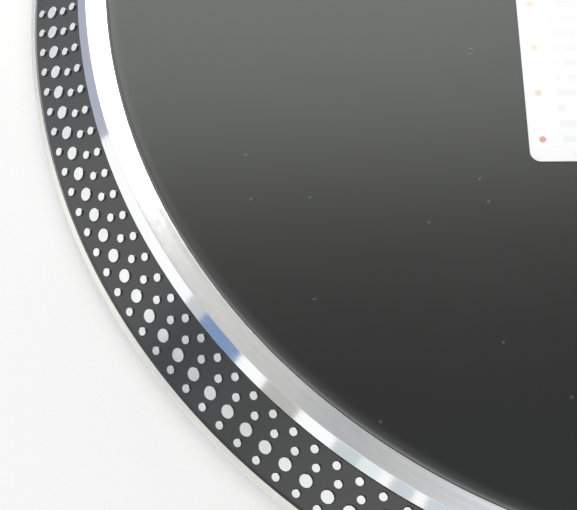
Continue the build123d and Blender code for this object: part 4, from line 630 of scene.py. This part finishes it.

# %% [markdown]
# ## The rubber mat
# A plain sheet of black rubber with a rounded edge. What is seen of it is mostly the soft reflection of the
# lamp, so its roughness matters more than its colour. A few specks and curled threads of lint lie on it: a
# curl is a ring round a point, broken by a noise. Near its edge the rubber is painted paler, in a wide faint
# stretch and a narrow one: a painted highlight for the light that the rounded edge catches.

# %% Mat's rubber
LINT_WEIGHT, LINT_TONE = 0.3, (0.3, 0.3, 0.29, 1.0)
mat_rubber = finish("mat_rubber", (0.0046, 0.0049, 0.0044), 0.235, grain=2600.0, waver=0.12, bump=2.5e-6,
                    edge=1e-4, dust=0.0, smudge=0.02)
finishes["mat_rubber"] = mat_rubber
tree = mat_rubber.node_tree
shader_of(mat_rubber)["Specular Tint"].default_value = (0.97, 1.0, 0.96, 1.0)
place = node(tree, "TexCoord").outputs["Object"]
speck_inputs = {"Vector": place, "Scale": 75.0, "Share": 0.16, "Width": 0.035}
curl_inputs = {"Vector": place, "Scale": 55.0, "Share": 0.1, "Curl": 0.04, "Width": 0.013, "Part": 0.5}
masks = [effect(tree, "lint_on_a_flat", inputs)["Mask"] for inputs in (speck_inputs, curl_inputs)]
add_print(mat_rubber, product(tree, maths(tree, "MAXIMUM", *masks), LINT_WEIGHT), LINT_TONE)
print("mat: rubber with lint")

# %% Mat's edge and piece
MAT_GAP, MAT_EDGE, PIN_HOLE = 0.1, 0.8, 4.3
EDGE_HIGHLIGHT_BANDS = ((3.2, 0.07), (0.9, 0.14))
mat_bottom, mat_top = (corner.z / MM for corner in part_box("platter_mat"))
mat_radius = ring_inner - MAT_GAP
reach = from_axis(tree, centred(tree, axis_foot))
# Painted highlight: the rubber is painted paler towards its edge, in a wide faint stretch and a narrow one,
# for the light that the rounded edge catches.
for width, tone in EDGE_HIGHLIGHT_BANDS:
    painted_edge_highlight = maths(tree, "POWER", ramp(tree, reach, (mat_radius - width) * MM, mat_radius * MM), 2.0)
    add_print(mat_rubber, painted_edge_highlight, (tone, tone, tone, 1.0))
mat_corners = [(PIN_HOLE, mat_bottom), (mat_radius, mat_bottom), (mat_radius, mat_top), (PIN_HOLE, mat_top)]
turned("rubber_mat", "platter_mat", soften(mat_corners, [0.2, 0.3, MAT_EDGE, 0.3], steps=9), [mat_rubber],
       axis_foot, segments=480)

# %% [markdown]
# ## The card
# A glossy white card with rounded corners lies on the mat. Round marks in a soft red down the left side and
# plain pale bars beside them show that it is a printed card. They are drawn by the distance from points and
# lines, in the card's own place.

# %% Card's marks and bars
card, tree, card_shader = new_material("card_paper")
card_low, card_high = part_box("blank_card")
x, y, _ = node(tree, "SeparateXYZ", {0: centred(tree, (card_low.x, card_low.y, 0.0))}).outputs
ROW_PITCH, FIRST_ROW, MARK_X, MARK_RADIUS, SOFT = 0.012, 0.0055, 0.0031, 0.00078, 0.0001
LINE_PITCH, LINE_HALF, LEFT_MARGIN, RIGHT_MARGIN = 0.004, 0.00085, 0.0072, 0.092
WORD_SCALE, LINE_SCALE, WORD_LEVEL = 330.0, 7.3, 0.42


def steps_from(tree, value, first, pitch):
    """Number of the nearest step of a pitch, and the distance from it in metres."""
    steps = maths(tree, "DIVIDE", maths(tree, "SUBTRACT", value, first), pitch)
    nearest = maths(tree, "ROUND", steps)
    return nearest, product(tree, maths(tree, "SUBTRACT", steps, nearest), pitch)


_, beside_row = steps_from(tree, y, FIRST_ROW, ROW_PITCH)
from_mark = node(tree, "CombineXYZ", {0: maths(tree, "SUBTRACT", x, MARK_X), 1: beside_row}).outputs[0]
mark = ramp(tree, from_axis(tree, from_mark), MARK_RADIUS + SOFT, MARK_RADIUS - SOFT)
line_number, beside_line = steps_from(tree, y, FIRST_ROW, LINE_PITCH)
word_place = {0: product(tree, x, WORD_SCALE), 1: product(tree, line_number, LINE_SCALE)}
words = node(tree, "CombineXYZ", word_place).outputs[0]
gaps = node(tree, "TexNoise", {"Vector": words, "Scale": 1.0, "Detail": 1.0}).outputs[0]
in_word = maths(tree, "GREATER_THAN", gaps, WORD_LEVEL)
in_margins = between(tree, x, LEFT_MARGIN, RIGHT_MARGIN)
bar = product(tree, within(tree, beside_line, LINE_HALF), in_word, in_margins)
print("card: %.1f x %.1f mm" % ((card_high.x - card_low.x) / MM, (card_high.y - card_low.y) / MM))

# %% Card's paper
FADE_FROM, FADE_TO, BAR_WEIGHT, GLOSS = 0.004, 0.02, 0.2, (0.2, 0.26)
place = node(tree, "TexCoord").outputs["Object"]
fade = ramp(tree, y, FADE_FROM, FADE_TO)
mark_red = mix_colour(tree, fade, (0.74, 0.3, 0.25, 1.0), (0.84, 0.74, 0.6, 1.0))
paper_grain = effect(tree, "fine_grain", {"Vector": place, "Scale": 1800.0})["Value"]
paper = mix_colour(tree, paper_grain, (0.9, 0.9, 0.9, 1.0), (0.93, 0.93, 0.93, 1.0))
paper = mix_colour(tree, product(tree, bar, BAR_WEIGHT), paper, (0.6, 0.6, 0.6, 1.0))
paper = mix_colour(tree, mark, paper, mark_red)
tree.links.new(paper, card_shader["Base Color"])
tree.links.new(ramp(tree, paper_grain, 0.0, 1.0, *GLOSS), card_shader["Roughness"])
finishes["card_paper"] = card
print("paper: white, with pale bars and soft red marks")

# %% [markdown]
# ## The red lens
# The strobe lamp shines through a red window in the pillar. It is tinted plastic that the lamp lights from
# behind. A lamp inside would be slow to render and hardly seen, so a faint glow of the lens stands for it.

# %% Lens
LENS_GLOW = 0.35
lens = finish("red_lens", (0.55, 0.02, 0.015), 0.12, grain=400.0, waver=0.08, bump=4e-6)
shader_of(lens)["Emission Color"].default_value = (1.0, 0.06, 0.03, 1.0)
shader_of(lens)["Emission Strength"].default_value = LENS_GLOW
finishes["red_lens"] = lens
print("lens: red")

# %% [markdown]
# ## Printed scales
# The fader, the height ring, the force dial and the anti-skate knob carry scales of plain white lines. A
# print has no thickness worth a mesh, so each is a mask in the material of the piece that carries it.

# %% Scales on dials
PRINT_WHITE = (0.8, 0.8, 0.78, 1.0)


def dial_finish(name, centre, count, inner, outer, half=0.25, tilt=ORIGIN):
    """Black anodised metal with a scale of white lines between two radii in millimetres."""
    material = anodised(name)
    inputs = {"Vector": centred(material.node_tree, centre, tilt), "Count": count, "Inner": inner * MM,
              "Outer": outer * MM, "Half": half * MM}
    add_print(material, effect(material.node_tree, "dial_lines", inputs)["Mask"], PRINT_WHITE)
    return material


def box_mm(name):
    """Lowest and highest corner of a node in millimetres."""
    low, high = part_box(name)
    return np.array(low) / MM, np.array(high) / MM


def middle_of(name):
    """Middle of a node on the floor plan, in metres."""
    low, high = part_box(name)
    return (low.x + high.x) / 2, (low.y + high.y) / 2, 0.0


height_scale = dial_finish("height_scale", middle_of("arm_height_ring"), 60.0, 32.5, 35.0)
skate_scale = dial_finish("skate_scale", middle_of("anti_skate_knob"), 16.0, 5.0, 7.2)
force_scale = dial_finish("force_scale", pivot_place, 40.0, 7.5, 10.5, tilt=AXIS_Y)
power_scale = dial_finish("power_scale", middle_of("power_knob"), 1.0, 4.0, 9.5, half=0.5)
print("dials: height, skate, force, power")

# %% Scale beside the fader
FADER_TRAVEL, FADER_STEPS, LONG_EVERY, BEYOND, NEARLY_ZERO = 100.0, 16, 4, 1.0, 0.1
TICK_NEAR, TICK_FAR, TICK_LONGER, TICK_HALF, KNOB_LINE_HALF = 5.0, 9.0, 2.5, 0.22, 0.4
fader_face = anodised("fader_face")
tree = fader_face.node_tree
x, y, _ = node(tree, "SeparateXYZ", {0: centred(tree, middle_of("fader_plate"))}).outputs
tick_number, beside_tick = steps_from(tree, y, 0.0, FADER_TRAVEL / FADER_STEPS * MM)
wave = maths(tree, "SINE", product(tree, tick_number, math.pi / LONG_EVERY))
longer = product(tree, within(tree, wave, NEARLY_ZERO), TICK_LONGER * MM)
tick_end = maths(tree, "ADD", longer, TICK_FAR * MM)
on_tick = within(tree, beside_tick, TICK_HALF * MM)
beside_slot = between(tree, maths(tree, "ABSOLUTE", x), TICK_NEAR * MM, tick_end)
in_travel = within(tree, y, (FADER_TRAVEL / 2 + BEYOND) * MM)
add_print(fader_face, product(tree, on_tick, beside_slot, in_travel), PRINT_WHITE)

pitch_finish = finish("pitch_knob", (0.022, 0.022, 0.023), 0.4, grain=1600.0, waver=0.15, edge=3e-4,
                      dust=0.0)
tree = pitch_finish.node_tree
_, y, _ = node(tree, "SeparateXYZ", {0: centred(tree, middle_of("pitch_knob"))}).outputs
add_print(pitch_finish, within(tree, y, KNOB_LINE_HALF * MM), PRINT_WHITE)
own_finish = {"fader_plate": fader_face, "pitch_knob": pitch_finish}
print("fader: scale and knob line")

# %% [markdown]
# ## Grips and turned rings
# Knobs, rings and weights are lathe pieces too. A grip is made by letting the radius dip in a wave round the
# axis over part of the height. The places come from the solids' own boxes, so each piece sits exactly where
# its solid was.

# %% Knobs and ring on upright axes
RING_BORE, RING_MARGIN = 31.04, 1.6
KNOB_HEIGHT, KNOB_SHAFT, DISH_RIM, DISH = 9.0, 3.0, 2.6, 0.4
GRIP_FOOT, SKATE_EDGE, POWER_EDGE = 0.8, 1.0, 1.6


def ring_profile(inner, outer, low, high):
    """Four corners of a ring's section, counterclockwise."""
    return [(inner, low), (outer, low), (outer, high), (inner, high)]


def knob_sides(low, high):
    """A knob's radius, the height of its skirt, and its corners from the shaft's foot to the top's edge."""
    radius, skirt = (high[0] - low[0]) / 2, high[2] - KNOB_HEIGHT
    shaft = [(0.0, low[2]), (KNOB_SHAFT, low[2]), (KNOB_SHAFT, skirt)]
    return radius, skirt, [*shaft, (radius, skirt), (radius, high[2])]


low, high = box_mm("arm_height_ring")
ring_corners = ring_profile(RING_BORE, (high[0] - low[0]) / 2, low[2], high[2])
turned("height_grip", "arm_height_ring", soften(ring_corners, [0.2, 0.8, 0.8, 0.2]), [height_scale],
       middle_of("arm_height_ring"), ribs=72, depth=0.7,
       rib_span=(low[2] + RING_MARGIN, high[2] - RING_MARGIN))

low, high = box_mm("anti_skate_knob")
radius, skirt, sides = knob_sides(low, high)
dish = high[2] - DISH
skate_corners = [*sides, (radius - DISH_RIM, high[2]), (radius - DISH_RIM - DISH, dish), (0.0, dish)]
turned("skate_grip", "anti_skate_knob", soften(skate_corners, [0, 0.2, 0.2, 0.5, 0.6, 0.15, 0.15, 0]),
       [skate_scale], middle_of("anti_skate_knob"), ribs=48, depth=0.45,
       rib_span=(skirt + GRIP_FOOT, high[2] - SKATE_EDGE))

low, high = box_mm("power_knob")
radius, skirt, sides = knob_sides(low, high)
turned("power_grip", "power_knob", soften([*sides, (0.0, high[2])], [0, 0.2, 0.2, 0.4, 1.0, 0]),
       [power_scale], middle_of("power_knob"), ribs=40, depth=0.5,
       rib_span=(skirt + GRIP_FOOT, high[2] - POWER_EDGE))

# %% Counterweight and force ring on the arm's line
WEIGHT_BORE, DIAL_BORE, DIAL_FACE, DIAL_EDGE = 9.04, 6.04, 4.0, 0.6
GROOVE, GROOVE_START, GROOVE_END, GROOVE_SLANT = 0.7, 8.0, 10.0, 0.4
PAST_GROOVE, WEIGHT_EDGE = 1.5, 2.0
arm_line = (pivot_place.x, 0.0, pivot_place.z)
low, high = box_mm("counterweight")
radius, start, end = (high[2] - low[2]) / 2, low[1] + GROOVE_START, low[1] + GROOVE_END
groove = [(radius, start), (radius - GROOVE, start + GROOVE_SLANT), (radius - GROOVE, end - GROOVE_SLANT),
          (radius, end)]
weight_corners = [(WEIGHT_BORE, low[1]), (radius, low[1]), *groove, (radius, high[1]),
                  (WEIGHT_BORE, high[1])]
turned("turned_weight", "counterweight", soften(weight_corners, [0.3, 1.2, 0.1, 0.1, 0.1, 0.1, 1.2, 0.4]),
       [finishes["weight_steel"]], arm_line, (0, 1, 0), ribs=64, depth=0.5,
       rib_span=(end + PAST_GROOVE, high[1] - WEIGHT_EDGE))

low, high = box_mm("force_dial")
dial_corners = ring_profile(DIAL_BORE, (high[2] - low[2]) / 2, low[1], high[1])
turned("force_ring", "force_dial", soften(dial_corners, [0.2, 0.7, 0.7, 0.2]), [force_scale], arm_line,
       (0, 1, 0), ribs=60, depth=0.35, rib_span=(low[1] + DIAL_FACE, high[1] - DIAL_EDGE))

# %% [markdown]
# ## Arm tube and collar
# The tube is a pipe bent twice, so that the headshell sits at its offset. Its path is three straight runs
# joined by arcs, and a ring of points square to the path makes the wall. The collar that locks the headshell
# has a knurl, which is a grip again, on an axis that follows the headshell.

# %% Collar
COLLAR_LENGTH, COLLAR_RADIUS, COLLAR_GAP, COLLAR_EDGE = 17.0, 8.5, 0.3, 3.0
TUBE_RADIUS, TUBE_BORE, FIT = 5.0, 4.2, 0.04
lock = joints["headshell_lock"]
shell_way = np.array(lock["axis"])
socket_end = np.array(lock["pos_m"])
collar_corners = ring_profile(TUBE_RADIUS + FIT, COLLAR_RADIUS, -COLLAR_LENGTH, -COLLAR_GAP)
turned("lock_collar", "headshell_collar", soften(collar_corners, [0.2, 0.9, 0.5, 0.2]),
       [finishes["arm_chrome"]], socket_end, shell_way, ribs=48, depth=0.45,
       rib_span=(-COLLAR_LENGTH + COLLAR_EDGE, -COLLAR_EDGE))


# %% Tube
def rounded_path(corners, radii, samples):
    """Points along straight runs joined by arcs: each inner corner is cut at r*tan(turn/2) and swept about
    the arc's centre."""
    corners = np.asarray(corners, float)
    stretches = [corners[:1]]
    for before, corner, after, radius in zip(corners, corners[1:], corners[2:], radii):
        back = (before - corner) / np.linalg.norm(before - corner)
        ahead = (after - corner) / np.linalg.norm(after - corner)
        bend = math.pi - math.acos(np.clip(back @ ahead, -1, 1))
        centre = corner + (back + ahead) / np.linalg.norm(back + ahead) * radius / math.cos(bend / 2)
        start = corner + back * radius * math.tan(bend / 2) - centre
        t = np.linspace(0, bend, samples)[:, None]
        stretches.append(centre + start * np.cos(t) - back * radius * np.sin(t))
    stretches.append(corners[-1:])
    return np.concatenate(stretches)


def tube(path, outer, inner, sides):
    """A hollow tube along a level path: at each point a ring square to the path, on the outer wall there
    and on the inner wall back."""
    ahead = np.gradient(path, axis=0)
    ahead /= np.linalg.norm(ahead, axis=1)[:, None]
    side = np.cross(ahead, UP)
    angle = angles(sides)
    ring = np.cos(angle)[None, :, None] * side[:, None] - np.sin(angle)[None, :, None] * UP
    shell = np.concatenate([path[:, None] + outer * ring, (path[:, None] + inner * ring)[::-1]])
    number = np.arange(shell.shape[0] * sides).reshape(sides, -1)
    return shell.transpose(1, 0, 2), grid_quads(number)


TUBE_START, TUBE_STRAIGHT, TUBE_LEAD, COLLAR_OVERLAP, BENDS = 6.0, 84.0, 25.0, 8.0, (80.0 * MM, 45.0 * MM)
BEND_SAMPLES, TUBE_SIDES = 40, 64
pivot = np.array(pivot_place)
forward = np.array([0.0, -1.0, 0.0])
collar_back = socket_end - shell_way * COLLAR_LENGTH * MM
tube_corners = [pivot + forward * TUBE_START * MM, pivot + forward * TUBE_STRAIGHT * MM,
                collar_back - shell_way * TUBE_LEAD * MM, collar_back + shell_way * COLLAR_OVERLAP * MM]
tube_path = rounded_path(tube_corners, BENDS, BEND_SAMPLES)
points, quads = tube(tube_path, TUBE_RADIUS * MM, TUBE_BORE * MM, TUBE_SIDES)
new_piece("arm_pipe", "arm_tube", points, [quads], [finishes["arm_chrome"]])

# %% [markdown]
# ## Feet
# Each foot is a rubber pad in a metal housing with a waist, on a stud that screws into the base. All four
# are alike, so one profile makes them, and each rides on its own body because each is turned on its own.

# %% Feet
FOOT_PAD, FOOT_TOP, PAD_STEP, FOOT_NECK, STUD_RADIUS, PAD_SEAM = 5.0, 24.0, 3.0, 22.0, 3.0, 0.3
FOOT_ROUNDING = [0, 0.8, 0.2, 0.6, 0.8, 0.4, 0.2, 0.2, 0.4, 0]
foot_housing = finish("foot_housing", (0.55, 0.55, 0.56), 0.34, 1.0, grain=900.0, bump=1e-5, edge=6e-4)
foot_finishes = [finishes["foot_rubber"], foot_housing]
for foot in ("foot_front_left", "foot_front_right", "foot_rear_left", "foot_rear_right"):
    low, high = box_mm(foot)
    radius, waist = (high[0] - low[0]) / 2, (FOOT_PAD + FOOT_TOP) / 2
    pad = radius - PAD_STEP
    corners = [(0.0, 0.0), (pad, 0.0), (pad, FOOT_PAD), (radius, FOOT_PAD + PAD_STEP), (radius, waist),
               (FOOT_NECK, FOOT_TOP - PAD_STEP), (FOOT_NECK, FOOT_TOP), (STUD_RADIUS, FOOT_TOP),
               (STUD_RADIUS, high[2]), (0.0, high[2])]
    profile = soften(corners, FOOT_ROUNDING)
    turned("turned_" + foot, foot, profile, foot_finishes, middle_of(foot), segments=192,
           which=(profile[:, 1] > FOOT_PAD - PAD_SEAM).astype(int))

# %% [markdown]
# ## Finishes on the solids that stay
# The other solids already have the right shape. Each gets its finish by the slot that the record names for
# it, unless a scale was printed on it above.

# %% Assign finishes
for name, solid in frame["nodes"].items():
    for slot in solid.material_slots:
        slot.material = own_finish.get(name, finishes[slot_of[name]])
print("finishes set on", len(slot_of), "solids")

# %% [markdown]
# ## Floor
# A plain pale floor, much larger than the player, so that its edge is never near.

# %% Floor
HALF_FLOOR = 15.0


def stage_piece(name, points, polygons, material):
    """A piece of the studio: an object with one material, on no body."""
    piece = new_object(name, points, polygons, [material])
    return piece


floor_paint = finish("floor_paint", (0.66, 0.66, 0.66), 0.7, grain=30.0, waver=0.01, bump=0.0, dust=0.0)
floor_corners = HALF_FLOOR * np.array([(-1, -1, 0), (1, -1, 0), (1, 1, 0), (-1, 1, 0)])
stage_piece("floor", floor_corners, [(0, 1, 2, 3)], floor_paint)
print("floor: %.0f m" % (2 * HALF_FLOOR))

# %% [markdown]
# ## Cards for the polished metal
# Polished metal has no look of its own: it shows what stands round it. In a studio, cards outside the
# picture give a mirror its bright and dark patches. Here a tall white card stands round the left front of
# the platter. The steep bevel shows low coloured strips before it, and the flatter dots show higher ones.
# Two level cards hang above for the flat ring. Only reflections see them, so they throw no light or shadow.

# %% Two kinds of cards
CARD_STEPS, CARD_REACH, BACK_REACH, CEILING = 24, 0.4, 0.42, 1.11
HANG_TURN = math.radians(-39.0)


def reflection_card(name, points, polygons, colour):
    """A card that shines with its colour, and that only reflections see."""
    material, _, inputs = new_material(name)
    inputs["Base Color"].default_value = (0.0, 0.0, 0.0, 1.0)
    inputs["Specular IOR Level"].default_value = 0.0
    inputs["Emission Color"].default_value = (*colour, 1.0)
    inputs["Emission Strength"].default_value = 1.0
    piece = stage_piece(name, points, polygons, material)
    piece.visible_camera = piece.visible_diffuse = piece.visible_shadow = False


def stand_card(name, start, end, low, high, colour, reach=CARD_REACH):
    """A curved strip: points at one distance from the spindle, from angle to angle, at two heights."""
    angle = np.radians(np.linspace(start, end, CARD_STEPS))
    around = reach * level_way(angle) + np.asarray(axis_foot)
    number = np.arange(2 * CARD_STEPS).reshape(2, CARD_STEPS)
    quads = np.stack([number[0, :-1], number[0, 1:], number[1, 1:], number[1, :-1]], axis=-1)
    points = np.concatenate([around + (0.0, 0.0, low), around + (0.0, 0.0, high)])
    reflection_card(name, points, quads.tolist(), colour)


def hang_card(name, middle, half_length, half_width, colour):
    """A level card above the platter, half_length along a turned direction and half_width across it."""
    direction = level_way(HANG_TURN)
    along, across = direction * half_length, np.cross(UP, direction) * half_width
    corners = np.array([-along - across, -along + across, along + across, along - across])
    reflection_card(name, corners + (*middle, CEILING), [(0, 1, 2, 3)], colour)


print("cards: standing and hanging")

# %% Cards: from and to angle in degrees, from and to height in metres, colour
standing = [
    ("lavender_card", 140.0, 178.6, 0.0, 0.078, (0.46, 0.49, 0.6)),
    ("veil_card", 150.0, 178.0, 0.08, 0.145, (0.96, 0.98, 0.99)),
    ("pale_card", 201.5, 204.2, 0.0, 0.135, (0.64, 0.67, 0.68)),
    ("blue_card", 204.2, 210.7, 0.0, 0.128, (0.23, 0.34, 0.56)),
    ("dim_card", 200.8, 209.0, 0.14, 0.25, (0.57, 0.62, 0.66)),
    ("haze_card", 209.0, 218.5, 0.16, 0.25, (0.79, 0.81, 0.8)),
    ("mist_card", 218.5, 226.0, 0.16, 0.25, (0.98, 0.99, 0.98)),
    ("grey_card", 215.0, 220.2, 0.0, 0.16, (0.53, 0.53, 0.5)),
    ("far_card_1", 225.6, 229.1, 0.0, 0.14, (0.64, 0.72, 0.7)),
    ("far_card_2", 229.1, 232.0, 0.0, 0.14, (0.88, 0.95, 0.94)),
    ("far_card_3", 233.4, 236.3, 0.0, 0.14, (0.66, 0.72, 0.76)),
    ("far_card_4", 237.9, 258.0, 0.0, 0.14, (0.67, 0.72, 0.77)),
]
stand_card("white_card", 120.0, 262.0, 0.0, 0.3, (1.13, 1.13, 1.13), BACK_REACH)
for values in standing:
    stand_card(*values)
hang_card("dusk_card", (-0.089, 0.215), 0.036, 0.1, (0.4, 0.42, 0.44))
hang_card("pale_blue_card", (0.1, 0.06), 0.13, 0.1, (0.76, 0.81, 0.87))
print("cards:", len(standing) + 1, "standing, 2 hanging")

# %% [markdown]
# ## Sky and lamps
# A soft sky, a little brighter near the horizon, lights everything evenly. A large lamp stands behind the
# platter like a window. Only reflections see it: the mat and the flat ring are bright where they show it,
# and fade at its upper edge. A second soft lamp at the left front lights the object. Reflections don't see
# it, so it leaves no bright square on the metal.

# %% World
HORIZON, OVERHEAD, SKY_LOW, SKY_HIGH = (0.9, 0.9, 0.92, 1.0), (0.57, 0.57, 0.57, 1.0), 0.05, 0.75
scene = bpy.context.scene
scene.view_settings.view_transform = "Standard"
world = bpy.data.worlds.new("studio")
scene.world = world
world.use_nodes = True
sky = world.node_tree
upness = node(sky, "SeparateXYZ", {0: node(sky, "TexCoord").outputs["Generated"]}).outputs[2]
tone = mix_colour(sky, ramp(sky, upness, SKY_LOW, SKY_HIGH), HORIZON, OVERHEAD)
sky.links.new(tone, sky.nodes["Background"].inputs[0])
print("sky: horizon and overhead")


# %% Lamps
def soft_lamp(name, place, target, width, height, power):
    """A rectangular lamp that faces a target."""
    lamp = bpy.data.objects.new(name, bpy.data.lights.new(name, "AREA"))
    lamp.data.shape = "RECTANGLE"
    lamp.data.size, lamp.data.size_y = width, height
    lamp.data.energy = power
    lamp.location = place
    lamp.rotation_mode = "QUATERNION"
    lamp.rotation_quaternion = (Vector(target) - Vector(place)).to_track_quat("-Z", "Y")
    bpy.context.collection.objects.link(lamp)
    return lamp


window = soft_lamp("window_lamp", (-0.14, 0.87, 1.0), (-0.1, -0.05, 0.11), 1.1, 0.8, 11.0)
window.visible_diffuse = False
front = soft_lamp("front_lamp", (-0.8, -0.65, 1.2), (-0.1, -0.05, 0.1), 1.2, 1.0, 11.2)
front.visible_glossy = False
print("lamps: %.1f W window, %.1f W front" % (window.data.energy, front.data.energy))
